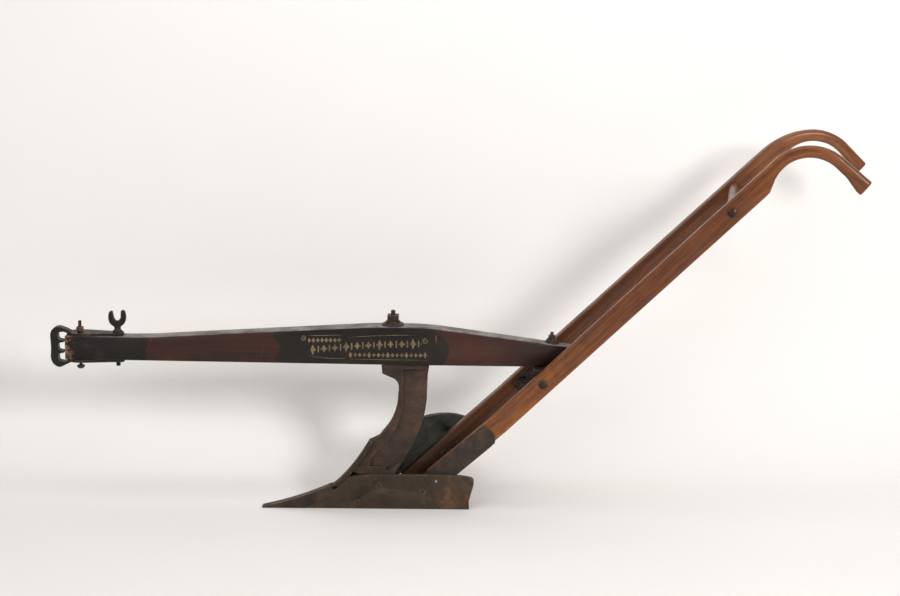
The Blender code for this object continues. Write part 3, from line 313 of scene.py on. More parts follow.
def make_grain():
    tree, given, out = group("wood_grain",
                             [("Place", VECTOR, None), ("Ring scale", FLOAT, 60.0),
                              ("Stretch", FLOAT, 14.0),
                              ("Pore scale", FLOAT, 900.0), ("Figure", FLOAT, 0.8)],
                             [("Rings", FLOAT), ("Pores", FLOAT), ("Tone", FLOAT)])
    apart = put(tree, "SeparateXYZ", {0: given["Place"]}).outputs
    slow = sum_of(tree, "DIVIDE", apart[0], given["Stretch"])
    long_place = put(tree, "CombineXYZ", {0: slow, 1: apart[1], 2: apart[2]}).outputs[0]
    bend = noise(tree, long_place, 9.0, 2.0)
    pushed = sum_of(tree, "MULTIPLY_ADD", bend, RING_SWAY, apart[1])
    ring_place = put(tree, "CombineXYZ", {0: slow, 1: pushed, 2: apart[2]}).outputs[0]
    rings = noise(tree, ring_place, given["Ring scale"], 3.0, 0.6, given["Figure"])
    tree.links.new(remap(tree, rings, 0.30, 0.70), out["Rings"])
    pore_slow = sum_of(tree, "DIVIDE", apart[0], PORE_STRETCH)
    pore_place = put(tree, "CombineXYZ", {0: pore_slow, 1: apart[1], 2: apart[2]}).outputs[0]
    pores = noise(tree, pore_place, given["Pore scale"], 2.0, 0.6)
    tree.links.new(remap(tree, pores, 0.52, 0.68), out["Pores"])
    tree.links.new(noise(tree, long_place, 7.0, 3.0), out["Tone"])
    return tree


GRAIN = make_grain()

# %% [markdown]
# ### Worn edges
#
# Hands, chains and soil rub paint and scale from edges first. The bevel node gives the normal that a
# rounded edge would have; where it differs from the true one, an edge is near. Noise breaks the band up.

# %% Edge group
def make_edge_wear():
    tree, given, out = group("edge_wear",
                             [("Place", VECTOR, None), ("Width", FLOAT, 0.003), ("Scale", FLOAT, 90.0),
                              ("Amount", FLOAT, 0.5)],
                             [("Wear", FLOAT)])
    eased = put(tree, "Bevel", {"Radius": given["Width"]}, samples=6).outputs[0]
    true = put(tree, "NewGeometry").outputs["Normal"]
    alike = put(tree, "VectorMath", {0: eased, 1: true}, operation="DOT_PRODUCT").outputs["Value"]
    near = remap(tree, alike, 0.995, 0.86)
    broken = remap(tree, noise(tree, given["Place"], given["Scale"], 5.0, 0.65), 0.36, 0.60)
    both = times(tree, near, broken)
    strength = times(tree, both, given["Amount"])
    tree.links.new(put(tree, "Clamp", {0: strength}).outputs[0], out["Wear"])
    return tree


EDGE_WEAR = make_edge_wear()

# %% [markdown]
# ### Patches and cast skin
#
# Rust comes in cloudy patches with ragged borders: coarse noise, cut at a level. Sand casting leaves a
# skin of fine grains with a few pits, made here as a height for bump.

# %% Patch, skin, scratch, and dust and sheen groups
def make_patches():
    tree, given, out = group("patches",
                             [("Place", VECTOR, None), ("Scale", FLOAT, 12.0), ("Level", FLOAT, 0.5),
                              ("Softness", FLOAT, 0.08)],
                             [("Mask", FLOAT)])
    cloud = noise(tree, given["Place"], given["Scale"], 8.0, 0.66, 0.3)
    low = sum_of(tree, "SUBTRACT", given["Level"], given["Softness"])
    high = sum_of(tree, "ADD", given["Level"], given["Softness"])
    tree.links.new(remap(tree, cloud, low, high), out["Mask"])
    return tree


def make_cast_skin():
    tree, given, out = group("cast_skin",
                             [("Place", VECTOR, None), ("Scale", FLOAT, 260.0), ("Pits", FLOAT, 0.6)],
                             [("Height", FLOAT), ("Pitting", FLOAT)])
    grains = noise(tree, given["Place"], given["Scale"], 5.0, 0.62)
    swell = noise(tree, given["Place"], 28.0, 3.0)
    pit_scale = times(tree, given["Scale"], 0.42)
    cells = put(tree, "TexVoronoi", {"Vector": given["Place"], "Scale": pit_scale}).outputs["Distance"]
    pits = remap(tree, cells, 0.05, 0.28, 1.0, 0.0)
    deep = times(tree, pits, given["Pits"])
    body = sum_of(tree, "MULTIPLY_ADD", swell, 0.8, grains)
    tree.links.new(sum_of(tree, "SUBTRACT", body, deep), out["Height"])
    tree.links.new(deep, out["Pitting"])
    return tree


def make_scratches():
    tree, given, out = group("scratches",
                             [("Place", VECTOR, None), ("Scale", FLOAT, 18.0), ("Slant", FLOAT, 0.5),
                              ("Level", FLOAT, 0.66)],
                             [("Mask", FLOAT)])
    turned = put(tree, "VectorRotate", {"Vector": given["Place"], "Angle": given["Slant"]},
                 rotation_type="Y_AXIS").outputs[0]
    thin = put(tree, "VectorMath", {0: turned, 1: (0.05, 1.0, 1.6)}, operation="MULTIPLY").outputs[0]
    fine = times(tree, given["Scale"], 9.0)
    lines = noise(tree, thin, fine, 2.0, 0.5)
    where = noise(tree, given["Place"], given["Scale"], 2.0)
    marked = sum_of(tree, "MULTIPLY_ADD", where, 0.25, lines)
    high = sum_of(tree, "ADD", given["Level"], 0.16)
    low = sum_of(tree, "ADD", given["Level"], 0.10)
    tree.links.new(remap(tree, marked, low, high), out["Mask"])
    return tree


# Up-facing faces, broken by cloud: dust on the iron and the handles, and on the beam also a painted sheen.
def make_dust_and_sheen():
    tree, given, out = group("dust",
                             [("Place", VECTOR, None), ("Amount", FLOAT, 0.4), ("Scale", FLOAT, 30.0)],
                             [("Mask", FLOAT)])
    normal = put(tree, "NewGeometry").outputs["Normal"]
    upward = put(tree, "SeparateXYZ", {0: normal}).outputs[2]
    flat = remap(tree, upward, 0.35, 0.95)
    cloudy = remap(tree, noise(tree, given["Place"], given["Scale"], 5.0, 0.6), 0.30, 0.72)
    dust_and_sheen_mask = times(tree, flat, cloudy)
    tree.links.new(times(tree, dust_and_sheen_mask, given["Amount"]), out["Mask"])
    return tree


PATCHES, CAST_SKIN, SCRATCHES, DUST_AND_SHEEN = make_patches(), make_cast_skin(), make_scratches(), make_dust_and_sheen()
print("groups:", [tree.name for tree in bpy.data.node_groups])


def patches(tree, place, scale, level, softness):
    """The mask of cloudy patches; a higher level leaves fewer of them."""
    values = {"Place": place, "Scale": scale, "Level": level, "Softness": softness}
    return place_group(tree, PATCHES, values)["Mask"]


# %% [markdown]
# ## Finishes of the iron
#
# The bottom is grey cast iron that lost its paint long ago: a thin brown rust with warmer patches and a
# little of the old black in the hollows. The share was scoured by soil and is darker, and the chilled
# moldboard is nearly black with a green cast. Hitch and fasteners keep their black japan. One recipe
# with other colours and amounts makes them all.

# %% Iron recipe
ASIDE = (3.1, 1.7, 5.3)         # a step away, so that the dark patches differ from the rust
IRON_DUST = colour(150, 132, 112)


def bump(tree, shader, height, strength, distance):
    """Sends a height to the shader's normal through a bump node."""
    node = put(tree, "Bump", {"Height": height, "Strength": strength, "Distance": distance})
    tree.links.new(node.outputs[0], shader.inputs["Normal"])


def iron(name, body, warm, dark, rubbed, warm_level=0.55, dark_level=0.56, wear=0.6, skin=0.5,
         rough=(0.50, 0.78), metal=0.35, dust=0.25, scale=14.0):
    """Cast or forged iron: body colour, warm rust patches, dark patches and rubbed edges."""
    made, tree, shader = material(name)
    place = put(tree, "TexCoord").outputs["Object"]
    fine = noise(tree, place, 160.0, 4.0)
    toned = mixed(tree, remap(tree, fine, 0.3, 0.7, 0.0, 0.45), body, dark)
    rust = patches(tree, place, scale, warm_level, 0.09)
    speckle = patches(tree, place, scale * 9, 0.56, 0.05)
    rusty = times(tree, rust, sum_of(tree, "MULTIPLY_ADD", speckle, 0.6, 0.4))
    base = mixed(tree, rusty, toned, warm)
    aside = put(tree, "VectorMath", {0: place, 1: ASIDE}, operation="ADD").outputs[0]
    old = patches(tree, aside, scale * 0.8, dark_level, 0.12)
    base = mixed(tree, times(tree, old, 0.75), base, dark)
    cast = place_group(tree, CAST_SKIN, {"Place": place, "Pits": skin})
    base = mixed(tree, times(tree, cast["Pitting"], 0.7), base, dark)
    edges = place_group(tree, EDGE_WEAR, {"Place": place, "Amount": wear})["Wear"]
    base = mixed(tree, edges, base, rubbed)
    dust_and_sheen_mask = place_group(tree, DUST_AND_SHEEN, {"Place": place, "Amount": dust})["Mask"]
    base = mixed(tree, dust_and_sheen_mask, base, IRON_DUST)
    tree.links.new(base, shader.inputs["Base Color"])
    blotch = noise(tree, place, 40.0, 4.0)
    roughness = remap(tree, blotch, 0.3, 0.7, *rough)
    roughness = sum_of(tree, "MULTIPLY_ADD", edges, -0.18, roughness)
    tree.links.new(sum_of(tree, "MULTIPLY_ADD", dust_and_sheen_mask, 0.15, roughness), shader.inputs["Roughness"])
    bare = sum_of(tree, "MULTIPLY_ADD", rusty, -metal, metal)
    tree.links.new(sum_of(tree, "MULTIPLY_ADD", edges, 0.4, bare), shader.inputs["Metallic"])
    bump(tree, shader, cast["Height"], 0.55, 0.0007)
    shader.inputs["Specular IOR Level"].default_value = 0.30
    return made


IRON_BLACK = colour(38, 34, 31)
RUBBED_STEEL = colour(128, 116, 104)

STANDARD_IRON = iron("standard_iron", colour(72, 57, 46), colour(96, 62, 40), colour(42, 36, 31),
                     colour(112, 92, 76), warm_level=0.57)
LANDSIDE_IRON = iron("landside_iron", colour(70, 56, 43), colour(118, 82, 50), colour(42, 37, 31),
                     colour(142, 118, 96), warm_level=0.60, wear=0.70, scale=10.0)
SHARE_IRON = iron("share_iron", colour(54, 43, 35), colour(84, 58, 40), IRON_BLACK, colour(96, 82, 68),
                  warm_level=0.56, rough=(0.50, 0.74), metal=0.25)
MOLDBOARD_IRON = iron("moldboard_iron", colour(52, 54, 47), colour(78, 68, 54), colour(32, 34, 30),
                      colour(98, 96, 86), warm_level=0.62, rough=(0.40, 0.62), metal=0.55, dust=0.15)
HITCH_IRON = iron("hitch_iron", colour(42, 39, 36), colour(76, 56, 42), colour(26, 25, 24), RUBBED_STEEL,
                  warm_level=0.64, rough=(0.38, 0.60), metal=0.45, wear=0.7, skin=0.3, dust=0.15)
SOCKET_IRON = iron("socket_iron", colour(68, 57, 49), colour(100, 74, 54), colour(42, 37, 34),
                   colour(132, 112, 94), warm_level=0.57, wear=0.9)
RIVET_IRON = iron("rivet_iron", colour(30, 26, 24), colour(58, 42, 33), colour(20, 18, 17),
                  colour(62, 50, 42),
                  warm_level=0.60, metal=0.1, wear=0.1, skin=0.3, dust=0.0, scale=60.0)
BOLT_IRON = iron("bolt_iron", colour(50, 43, 38), colour(96, 64, 44), colour(28, 26, 25), RUBBED_STEEL,
                 warm_level=0.55, rough=(0.36, 0.58), metal=0.5, wear=0.8, skin=0.2, dust=0.1, scale=60.0)
RUSTY_NUT = iron("rusty_nut", colour(104, 66, 46), colour(142, 84, 54), colour(58, 40, 32),
                 colour(150, 120, 98), warm_level=0.50, wear=0.8, scale=80.0)
BRIGHT_STEEL = iron("bright_steel", colour(190, 184, 174), colour(140, 108, 84), colour(120, 112, 104),
                    colour(225, 220, 212), warm_level=0.66, rough=(0.22, 0.4), metal=0.9, skin=0.1)

# %% [markdown]
# ## Finishes of the wood
#
# The beam was painted dark red-brown and varnished, with a black panel at its nose and another in the
# middle that carries a gilt ornament. Age has rubbed the paint to bare wood at the nose and let it crack
# round the rivet. The panels are masks along the beam, so their borders can wander as brushed ones do.

# %% Where the beam's panels lie
beam_low, beam_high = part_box("beam")
beam_hinge = next(joint for joint in frame["joints"] if joint["name"] == "beam_swing")
BEAM_PITCH = math.atan2(beam_hinge["axis"][0], beam_hinge["axis"][2])
NOSE_END = -0.690               # the nose panel runs from the front end to here
PANEL_SPAN = (-0.318, 0.162)    # the middle panel, front and rear
PANEL_MIDDLE = 0.440            # height where its rear end bulges most
RIVET_PLACE = sum(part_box("beam_rivet"), Vector()) / 2
SCAR_PLACE = (0.122, 0.0, 0.476)   # an old chip that shows the red undercoat
SCAR_SPREAD = (1 / 0.0026, 0.0, 1 / 0.0140)
WARM_PLACE = (0.245, 0.0, 0.438)   # where the paint behind the panel is reddest
WARM_SPREAD = (8.0, 0.0, 26.0)  # how fast that fades along the beam and up it
FADE_SPAN = (0.20, 0.42)        # the paint darkens between these, towards the tail
CRACK_REACH = (0.040, 0.070)    # cracks thin out between these distances from the rivet
RIVET_RIM = (0.034, 0.037)      # no bare wood closer to the rivet than this
NOSE_WEAR = (-0.70, -0.90)      # edges are rubbed more and more from the first to the second
END_CHIPS = (-0.888, -0.914)    # chips of bare wood at the very front
# Pale grey for the beam's up-facing faces: dust, lightened into a painted sheen for the light its top
# reflects.
BEAM_DUST_AND_SHEEN = colour(196, 190, 184)
print("beam pitch:", round(math.degrees(BEAM_PITCH), 3), "beam box:", tuple(beam_low), tuple(beam_high))


def panel_mask(tree, place):
    """1 on the black panels: the nose, and the middle one with its bulging rear end."""
    x, _, z = put(tree, "SeparateXYZ", {0: place}).outputs
    ragged = noise(tree, place, 34.0, 4.0)
    wander = sum_of(tree, "MULTIPLY_ADD", ragged, 0.016, x)
    nose = remap(tree, wander, NOSE_END + 0.006, NOSE_END + 0.011, 1.0, 0.0)
    away = sum_of(tree, "ABSOLUTE", sum_of(tree, "SUBTRACT", z, PANEL_MIDDLE))
    round_end = times(tree, times(tree, away, away), 11.0)
    rear_line = sum_of(tree, "ADD", wander, round_end)
    rear = remap(tree, rear_line, PANEL_SPAN[1], PANEL_SPAN[1] + 0.006, 1.0, 0.0)
    step = sum_of(tree, "SINE", times(tree, z, 95.0))
    front_line = sum_of(tree, "MULTIPLY_ADD", step, 0.010, wander)
    front = remap(tree, front_line, PANEL_SPAN[0], PANEL_SPAN[0] + 0.010)
    return sum_of(tree, "MAXIMUM", nose, times(tree, rear, front))


# %% Painted beam
def make_beam_paint():
    made, tree, shader = material("beam_paint")
    place = put(tree, "TexCoord").outputs["Object"]
    level_place = put(tree, "VectorRotate", {"Vector": place, "Angle": -BEAM_PITCH},
                      rotation_type="Y_AXIS").outputs[0]
    grain = place_group(tree, GRAIN, {"Place": level_place, "Ring scale": 80.0, "Stretch": 16.0})
    cloudy = noise(tree, place, 5.0, 4.0)
    red = mixed(tree, remap(tree, cloudy, 0.3, 0.7), colour(36, 22, 18), colour(58, 30, 22))
    red = mixed(tree, times(tree, grain["Rings"], 0.35), red, colour(80, 44, 32))
    red = mixed(tree, times(tree, grain["Pores"], 0.45), red, colour(24, 17, 15))
    warm = put(tree, "VectorMath", {0: place, 1: WARM_PLACE}, operation="SUBTRACT").outputs[0]
    warm = put(tree, "VectorMath", {0: warm, 1: WARM_SPREAD}, operation="MULTIPLY").outputs[0]
    warm = put(tree, "VectorMath", {0: warm}, operation="LENGTH").outputs["Value"]
    warm = remap(tree, warm, 0.2, 1.1, 0.55, 0.0)
    red = mixed(tree, warm, red, colour(80, 42, 30))
    fade = remap(tree, put(tree, "SeparateXYZ", {0: place}).outputs[0], *FADE_SPAN)
    red = mixed(tree, times(tree, fade, 0.6), red, colour(34, 23, 20))
    black = mixed(tree, remap(tree, cloudy, 0.35, 0.65), colour(20, 18, 16), colour(33, 28, 24))
    base = mixed(tree, panel_mask(tree, place), red, black)

    cracks = put(tree, "TexVoronoi", {"Vector": place, "Scale": 190.0, "Randomness": 1.0},
                 feature="DISTANCE_TO_EDGE").outputs["Distance"]
    lines = remap(tree, cracks, 0.015, 0.075, 1.0, 0.0)
    from_rivet = put(tree, "VectorMath", {0: place, 1: RIVET_PLACE},
                     operation="DISTANCE").outputs["Value"]
    ragged = sum_of(tree, "MULTIPLY_ADD", noise(tree, place, 45.0, 4.0), 0.07, from_rivet)
    near = remap(tree, ragged, *CRACK_REACH, 1.0, 0.0)
    base = mixed(tree, times(tree, near, 0.5), base, colour(84, 54, 46))
    base = mixed(tree, times(tree, lines, near), base, colour(40, 28, 25))

    edges = place_group(tree, EDGE_WEAR,
                        {"Place": place, "Width": 0.0045, "Scale": 60.0, "Amount": 0.8})["Wear"]
    x = put(tree, "SeparateXYZ", {0: place}).outputs[0]
    nose = remap(tree, x, *NOSE_WEAR)
    chips = patches(tree, place, 75.0, 0.53, 0.05)
    front_end = remap(tree, x, *END_CHIPS)
    bare = times(tree, edges, sum_of(tree, "MULTIPLY_ADD", nose, 1.3, 0.25))
    bare = sum_of(tree, "MAXIMUM", bare, times(tree, chips, front_end))
    wood = mixed(tree, grain["Pores"], colour(150, 106, 76), colour(96, 62, 42))
    bare = times(tree, bare, remap(tree, from_rivet, *RIVET_RIM))
    base = mixed(tree, bare, base, wood)
    scar = put(tree, "VectorMath", {0: place, 1: SCAR_PLACE}, operation="SUBTRACT").outputs[0]
    scar = put(tree, "VectorMath", {0: scar, 1: SCAR_SPREAD}, operation="MULTIPLY").outputs[0]
    scar = put(tree, "VectorMath", {0: scar}, operation="LENGTH").outputs["Value"]
    scar = sum_of(tree, "MULTIPLY_ADD", noise(tree, place, 260.0, 4.0), 1.4, scar)
    base = mixed(tree, remap(tree, scar, 1.35, 1.65, 1.0, 0.0), base, colour(108, 54, 29))
    marks = place_group(tree, SCRATCHES,
                        {"Place": place, "Scale": 9.0, "Slant": 1.35, "Level": 0.73})["Mask"]
    base = mixed(tree, times(tree, marks, 0.6), base, colour(120, 72, 46))
    # Painted sheen: the beam's up-facing faces are lightened to pale grey, dust that also stands in for
    # the light reflected from its top.
    dust_and_sheen_mask = place_group(tree, DUST_AND_SHEEN, {"Place": place, "Amount": 0.62, "Scale": 18.0})["Mask"]
    base = mixed(tree, dust_and_sheen_mask, base, BEAM_DUST_AND_SHEEN)
    tree.links.new(base, shader.inputs["Base Color"])

    worn = noise(tree, place, 26.0, 4.0)
    roughness = remap(tree, worn, 0.3, 0.7, 0.34, 0.52)
    roughness = sum_of(tree, "MULTIPLY_ADD", dust_and_sheen_mask, 0.45, roughness)
    tree.links.new(sum_of(tree, "MULTIPLY_ADD", bare, 0.3, roughness), shader.inputs["Roughness"])
    varnish = remap(tree, worn, 0.3, 0.7, 0.22, 0.06)
    clean = remap(tree, dust_and_sheen_mask, 0.0, 0.5, 1.0, 0.0)
    tree.links.new(times(tree, varnish, clean), shader.inputs["Coat Weight"])
    shader.inputs["Coat Roughness"].default_value = 0.22
    shader.inputs["Specular IOR Level"].default_value = 0.18
    height = sum_of(tree, "MULTIPLY_ADD", grain["Pores"], -0.8, times(tree, grain["Rings"], 0.5))
    height = sum_of(tree, "MULTIPLY_ADD", times(tree, lines, near), -1.2, height)
    bump(tree, shader, sum_of(tree, "MULTIPLY_ADD", bare, -1.0, height), 0.5, 0.0005)
    return made


BEAM_PAINT = make_beam_paint()

# %% [markdown]
# ### Varnished handles
#
# The handles are straight-grained ash, steamed and bent, then varnished orange-brown. Their colour is
# lighter at the foot and, less so, at the grip, and the right handle's foot is darkened as painted shade.
# The grain has to follow the bend, so it reads a place stored on each point of the mesh: how far along the
# handle it lies, and how far in from the outer edge.

# %% Varnish
GRAIN_PLACE = "grain_place"
FOOT_SHADE_SIDE = (0.06, 0.08)        # only the right handle lies beyond these, on the furrow side
FOOT_SHADE_HEIGHT = (0.16, 0.44)      # painted shade darkens its foot below the first and fades out at the second
LOWER_HEIGHT = (0.20, 0.60)     # the handles are lighter below the first
GRIP_HEIGHT = (0.86, 1.0)       # and lighter again, less so, above the second


def make_varnish():
    made, tree, shader = material("handle_varnish")
    along = put(tree, "Attribute", attribute_name=GRAIN_PLACE,
                attribute_type="GEOMETRY").outputs["Vector"]
    place = put(tree, "TexCoord").outputs["Object"]
    grain = place_group(tree, GRAIN,
                        {"Place": along, "Ring scale": 95.0, "Stretch": 18.0, "Pore scale": 1100.0,
                                      "Figure": 0.5})
    light, deep = colour(184, 110, 54), colour(112, 62, 30)
    height = put(tree, "SeparateXYZ", {0: place}).outputs[2]
    lower = remap(tree, height, *LOWER_HEIGHT, 1.0, 0.0)
    grip = remap(tree, height, *GRIP_HEIGHT)
    bright = sum_of(tree, "MAXIMUM", lower, times(tree, grip, 0.55))
    toned = sum_of(tree, "MULTIPLY_ADD", grain["Tone"], 0.9, -0.32)
    share = put(tree, "Clamp", {0: sum_of(tree, "MULTIPLY_ADD", bright, 0.55, toned)}).outputs[0]
    base = mixed(tree, share, deep, light)
    base = mixed(tree, times(tree, grain["Rings"], 0.80), base, colour(66, 36, 18))
    base = mixed(tree, times(tree, grain["Pores"], 0.80), base, colour(34, 18, 11))
    grime = patches(tree, place, 11.0, 0.60, 0.10)
    base = mixed(tree, times(tree, grime, 0.45), base, colour(62, 38, 27))
    edges = place_group(tree, EDGE_WEAR,
                        {"Place": place, "Width": 0.006, "Scale": 40.0, "Amount": 0.35})["Wear"]
    base = mixed(tree, edges, base, colour(178, 128, 90))
    marks = place_group(tree, SCRATCHES,
                        {"Place": along, "Scale": 14.0, "Slant": 0.35, "Level": 0.73})["Mask"]
    base = mixed(tree, times(tree, marks, 0.6), base, colour(58, 34, 24))
    side = put(tree, "SeparateXYZ", {0: place}).outputs[1]
    beyond = remap(tree, side, *FOOT_SHADE_SIDE)
    # Painted shade: the right handle's foot is darkened to stand in for the shade that falls on it low
    # behind the bottom.
    painted_foot_shade = times(tree, beyond, remap(tree, height, *FOOT_SHADE_HEIGHT, 1.0, 0.0))
    base = mixed(tree, times(tree, painted_foot_shade, 0.92), base, colour(44, 30, 23))
    dust_and_sheen_mask = place_group(tree, DUST_AND_SHEEN, {"Place": place, "Amount": 0.14, "Scale": 24.0})["Mask"]
    base = mixed(tree, dust_and_sheen_mask, base, colour(176, 150, 128))
    tree.links.new(base, shader.inputs["Base Color"])
    worn = noise(tree, place, 20.0, 4.0)
    tree.links.new(remap(tree, worn, 0.3, 0.7, 0.30, 0.48), shader.inputs["Roughness"])
    tree.links.new(remap(tree, worn, 0.3, 0.7, 0.32, 0.12), shader.inputs["Coat Weight"])
    shader.inputs["Coat Roughness"].default_value = 0.20
    shader.inputs["Specular IOR Level"].default_value = 0.22
    relief = sum_of(tree, "MULTIPLY_ADD", grain["Pores"], -0.9, times(tree, grain["Rings"], 0.35))
    bump(tree, shader, sum_of(tree, "MULTIPLY_ADD", marks, -0.8, relief), 0.45, 0.0004)
    return made


VARNISH = make_varnish()

# %% [markdown]
# ## Pieces
#
# Every piece below stands for a node of the frame. Its solid is copied, points that coincide are merged
# and flat faces joined, and then a small bevel rounds the edges as casting, forging or a spokeshave
# does. Sharp edges never catch the light, and that alone makes a model look like plastic.

# %% Helper that copies a node as a finished piece
MERGE = 0.00002
SMOOTH_ANGLE = math.radians(38.0)


def settle(piece, node, finish):
    """Gives a piece its finish and its body, and lets it stand for the node."""
    piece.data.materials.clear()
    piece.data.materials.append(finish)
    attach(piece, body_of[node])
    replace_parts(piece, node)
    return piece


def dressed(node, finish, ease=0.0008, steps=2, turn=35.0):
    """A copy of a node with merged points, joined flat faces and eased edges."""
    bm = bmesh.new()
    bm.from_mesh(frame["nodes"][node].data)
    bmesh.ops.remove_doubles(bm, verts=bm.verts, dist=MERGE)
    bmesh.ops.dissolve_limit(bm, angle_limit=math.radians(0.6), verts=bm.verts, edges=bm.edges)
    mesh = bpy.data.meshes.new(node + "_dressed")
    bm.to_mesh(mesh)
    bm.free()
    piece = bpy.data.objects.new(node + "_dressed", mesh)
    bpy.context.scene.collection.objects.link(piece)
    mesh.shade_smooth()
    mesh.set_sharp_from_angle(angle=SMOOTH_ANGLE)
    if ease:
        step = piece.modifiers.new("eased_edges", "BEVEL")
        step.width = ease
        step.segments = steps
        step.limit_method = "ANGLE"
        step.angle_limit = math.radians(turn)
        step.harden_normals = True
    return settle(piece, node, finish)


# %% [markdown]
# ### Iron bottom
#
# The standard carries everything. Landside, share, shin and moldboard are bolted to it with joints that
# stay a little open. Castings get a wide soft edge, and the ground faces of the bottom a narrow one.

# %% Dress the bottom
BOTTOM = (
    ("standard", STANDARD_IRON, 0.0022, 3, 30.0),
    ("landside", LANDSIDE_IRON, 0.0, 0, 0.0),
    ("share", SHARE_IRON, 0.0010, 2, 30.0),
    ("shin_piece", SHARE_IRON, 0.0, 0, 0.0),
    ("moldboard", MOLDBOARD_IRON, 0.0012, 2, 50.0),
    ("handle_socket", SOCKET_IRON, 0.0010, 2, 35.0),
    ("handle_bracket", BOLT_IRON, 0.0010, 2, 35.0),
    ("beam_seat", BOLT_IRON, 0.0012, 2, 35.0),
)
for node, finish, ease, steps, turn in BOTTOM:
    dressed(node, finish, ease, steps, turn)
print("bottom dressed:", len(BOTTOM))

# %% [markdown]
# ### Beam and hitch
#
# The beam was sawn from one plank and only its edges are softened, so its solid stays as it is but for
# the finish. Clevis and wrench are forged: their edges are rounder than a casting's.

# %% Dress the beam and the hitch
dressed("beam", BEAM_PAINT, 0.0, 0, 0.0)
HITCH = (("clevis", HITCH_IRON, 0.0020), ("wrench_pin", HITCH_IRON, 0.0),
         ("clevis_bolt", BOLT_IRON, 0.0), ("clevis_nut", RUSTY_NUT, 0.0009),
         ("clevis_collar", HITCH_IRON, 0.0))
for node, finish, ease in HITCH:
    dressed(node, finish, ease, 3)

# %% [markdown]
# ### Fasteners
#
# Round heads, washers and rods come from the lathe and are smooth already. Square nuts are chamfered so
# that their corners don't cut the hand, so they alone get an eased edge.

# %% Dress the fasteners
dressed("landside_rivet", BRIGHT_STEEL, 0.0)
finished = {piece for obj in bpy.data.objects for piece in obj.get("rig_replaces", [])}
WOODEN = {"handle_left", "handle_right", "handle_rung"}
# The landside's bolts are ground flush with it and share its rust.
OTHER_FINISH = {"landside_bolt_lower": LANDSIDE_IRON, "landside_bolt_rear": LANDSIDE_IRON,
                "landside_bolt_upper": LANDSIDE_IRON, "beam_rivet": RIVET_IRON}
for node in sorted(set(frame["nodes"]) - finished - WOODEN):
    finish = OTHER_FINISH.get(node, BOLT_IRON)
    dressed(node, finish, 0.0009 if node.endswith("_nut") else 0.0)

# %% [markdown]
# ## Handles
#
# A handle is a board with a bent, rounded grip. Copying the solid would give grain that runs straight
# through the bend. So each one is lofted: sections stand square to the outer edge, from the foot to the
# flared end, and each point remembers how far along and how far in it lies.

# %% Handle shapes
BOARD_DEPTH, BOARD_THICKNESS = 0.057, 0.029
GRIP_DEPTH, GRIP_END = 0.0325, 0.047
BOARD_EASE, GRIP_ROUND = 0.005, 0.011
SHOULDER_RUN, END_SLANT = 0.013, math.radians(10)
KNEE = 0.10                     # the bar bends a little here, next to the iron
FOOT_STEPS, BAR_STEPS = 8, 60   # sections up to the knee, and from there to the bend
FRONT_STEPS, BACK_STEPS, END_STEPS = 44, 30, 14
DEEPEST = 0.075                 # no section is deeper than this
# Angle of the bar, apex of the grip, bend radii before it, after it and inside it, droop, straight
# end, foot, bend at the knee, place and turn on the plow, side it faces
LEFT = {"angle": math.radians(44.4), "apex": (0.9455, 1.0400), "front": 0.1320, "back": 0.1320,
        "inner": 0.0995, "droop": math.radians(40), "tip": 0.0990, "foot": -0.0820,
        "sag": math.radians(2.6), "place": (0.177, 0.0131, 0.0), "spread": math.radians(-7.69), "side": -1}
RIGHT = {"angle": math.radians(41.7), "apex": (0.9820, 1.0355), "front": 0.2067, "back": 0.1450,
         "inner": 0.1000, "droop": math.radians(45), "tip": 0.0793, "foot": -0.1850,
         "sag": math.radians(0.8), "place": (0.200, 0.1375, 0.0), "spread": math.radians(8.81), "side": 1}


def arc(centre, radius, start, end, steps):
    """Points round a centre between two angles, in radians."""
    turns = [start + (end - start) * i / steps for i in range(steps + 1)]
    return [Vector((centre[0] + radius * math.cos(t), centre[1] + radius * math.sin(t))) for t in turns]


def outer_edge(hand):
    """The handle's outer edge in its own upright plane, from the foot to the end of the grip."""
    (apex_u, apex_z), angle, front, back = hand["apex"], hand["angle"], hand["front"], hand["back"]
    upright = math.pi / 2
    start_u = apex_u - front * math.sin(angle)
    start_z = apex_z - front * (1 - math.cos(angle))
    knee = Vector((KNEE, start_z - (start_u - KNEE) * math.tan(angle)))
    run = knee.x - hand["foot"]
    foot = Vector((hand["foot"], knee.y - run * math.tan(angle - hand["sag"])))
    line = [foot + (knee - foot) * i / FOOT_STEPS for i in range(FOOT_STEPS)]
    start = Vector((start_u, start_z))
    line += [knee + (start - knee) * i / BAR_STEPS for i in range(BAR_STEPS)]
    line += arc((apex_u, apex_z - front), front, upright + angle, upright, FRONT_STEPS)
    line += arc((apex_u, apex_z - back), back, upright, upright - hand["droop"], BACK_STEPS)[1:]
    down = Vector((math.cos(hand["droop"]), -math.sin(hand["droop"])))
    end = down * hand["tip"]
    return line + [line[-1] + end * i / END_STEPS for i in range(1, END_STEPS + 1)]


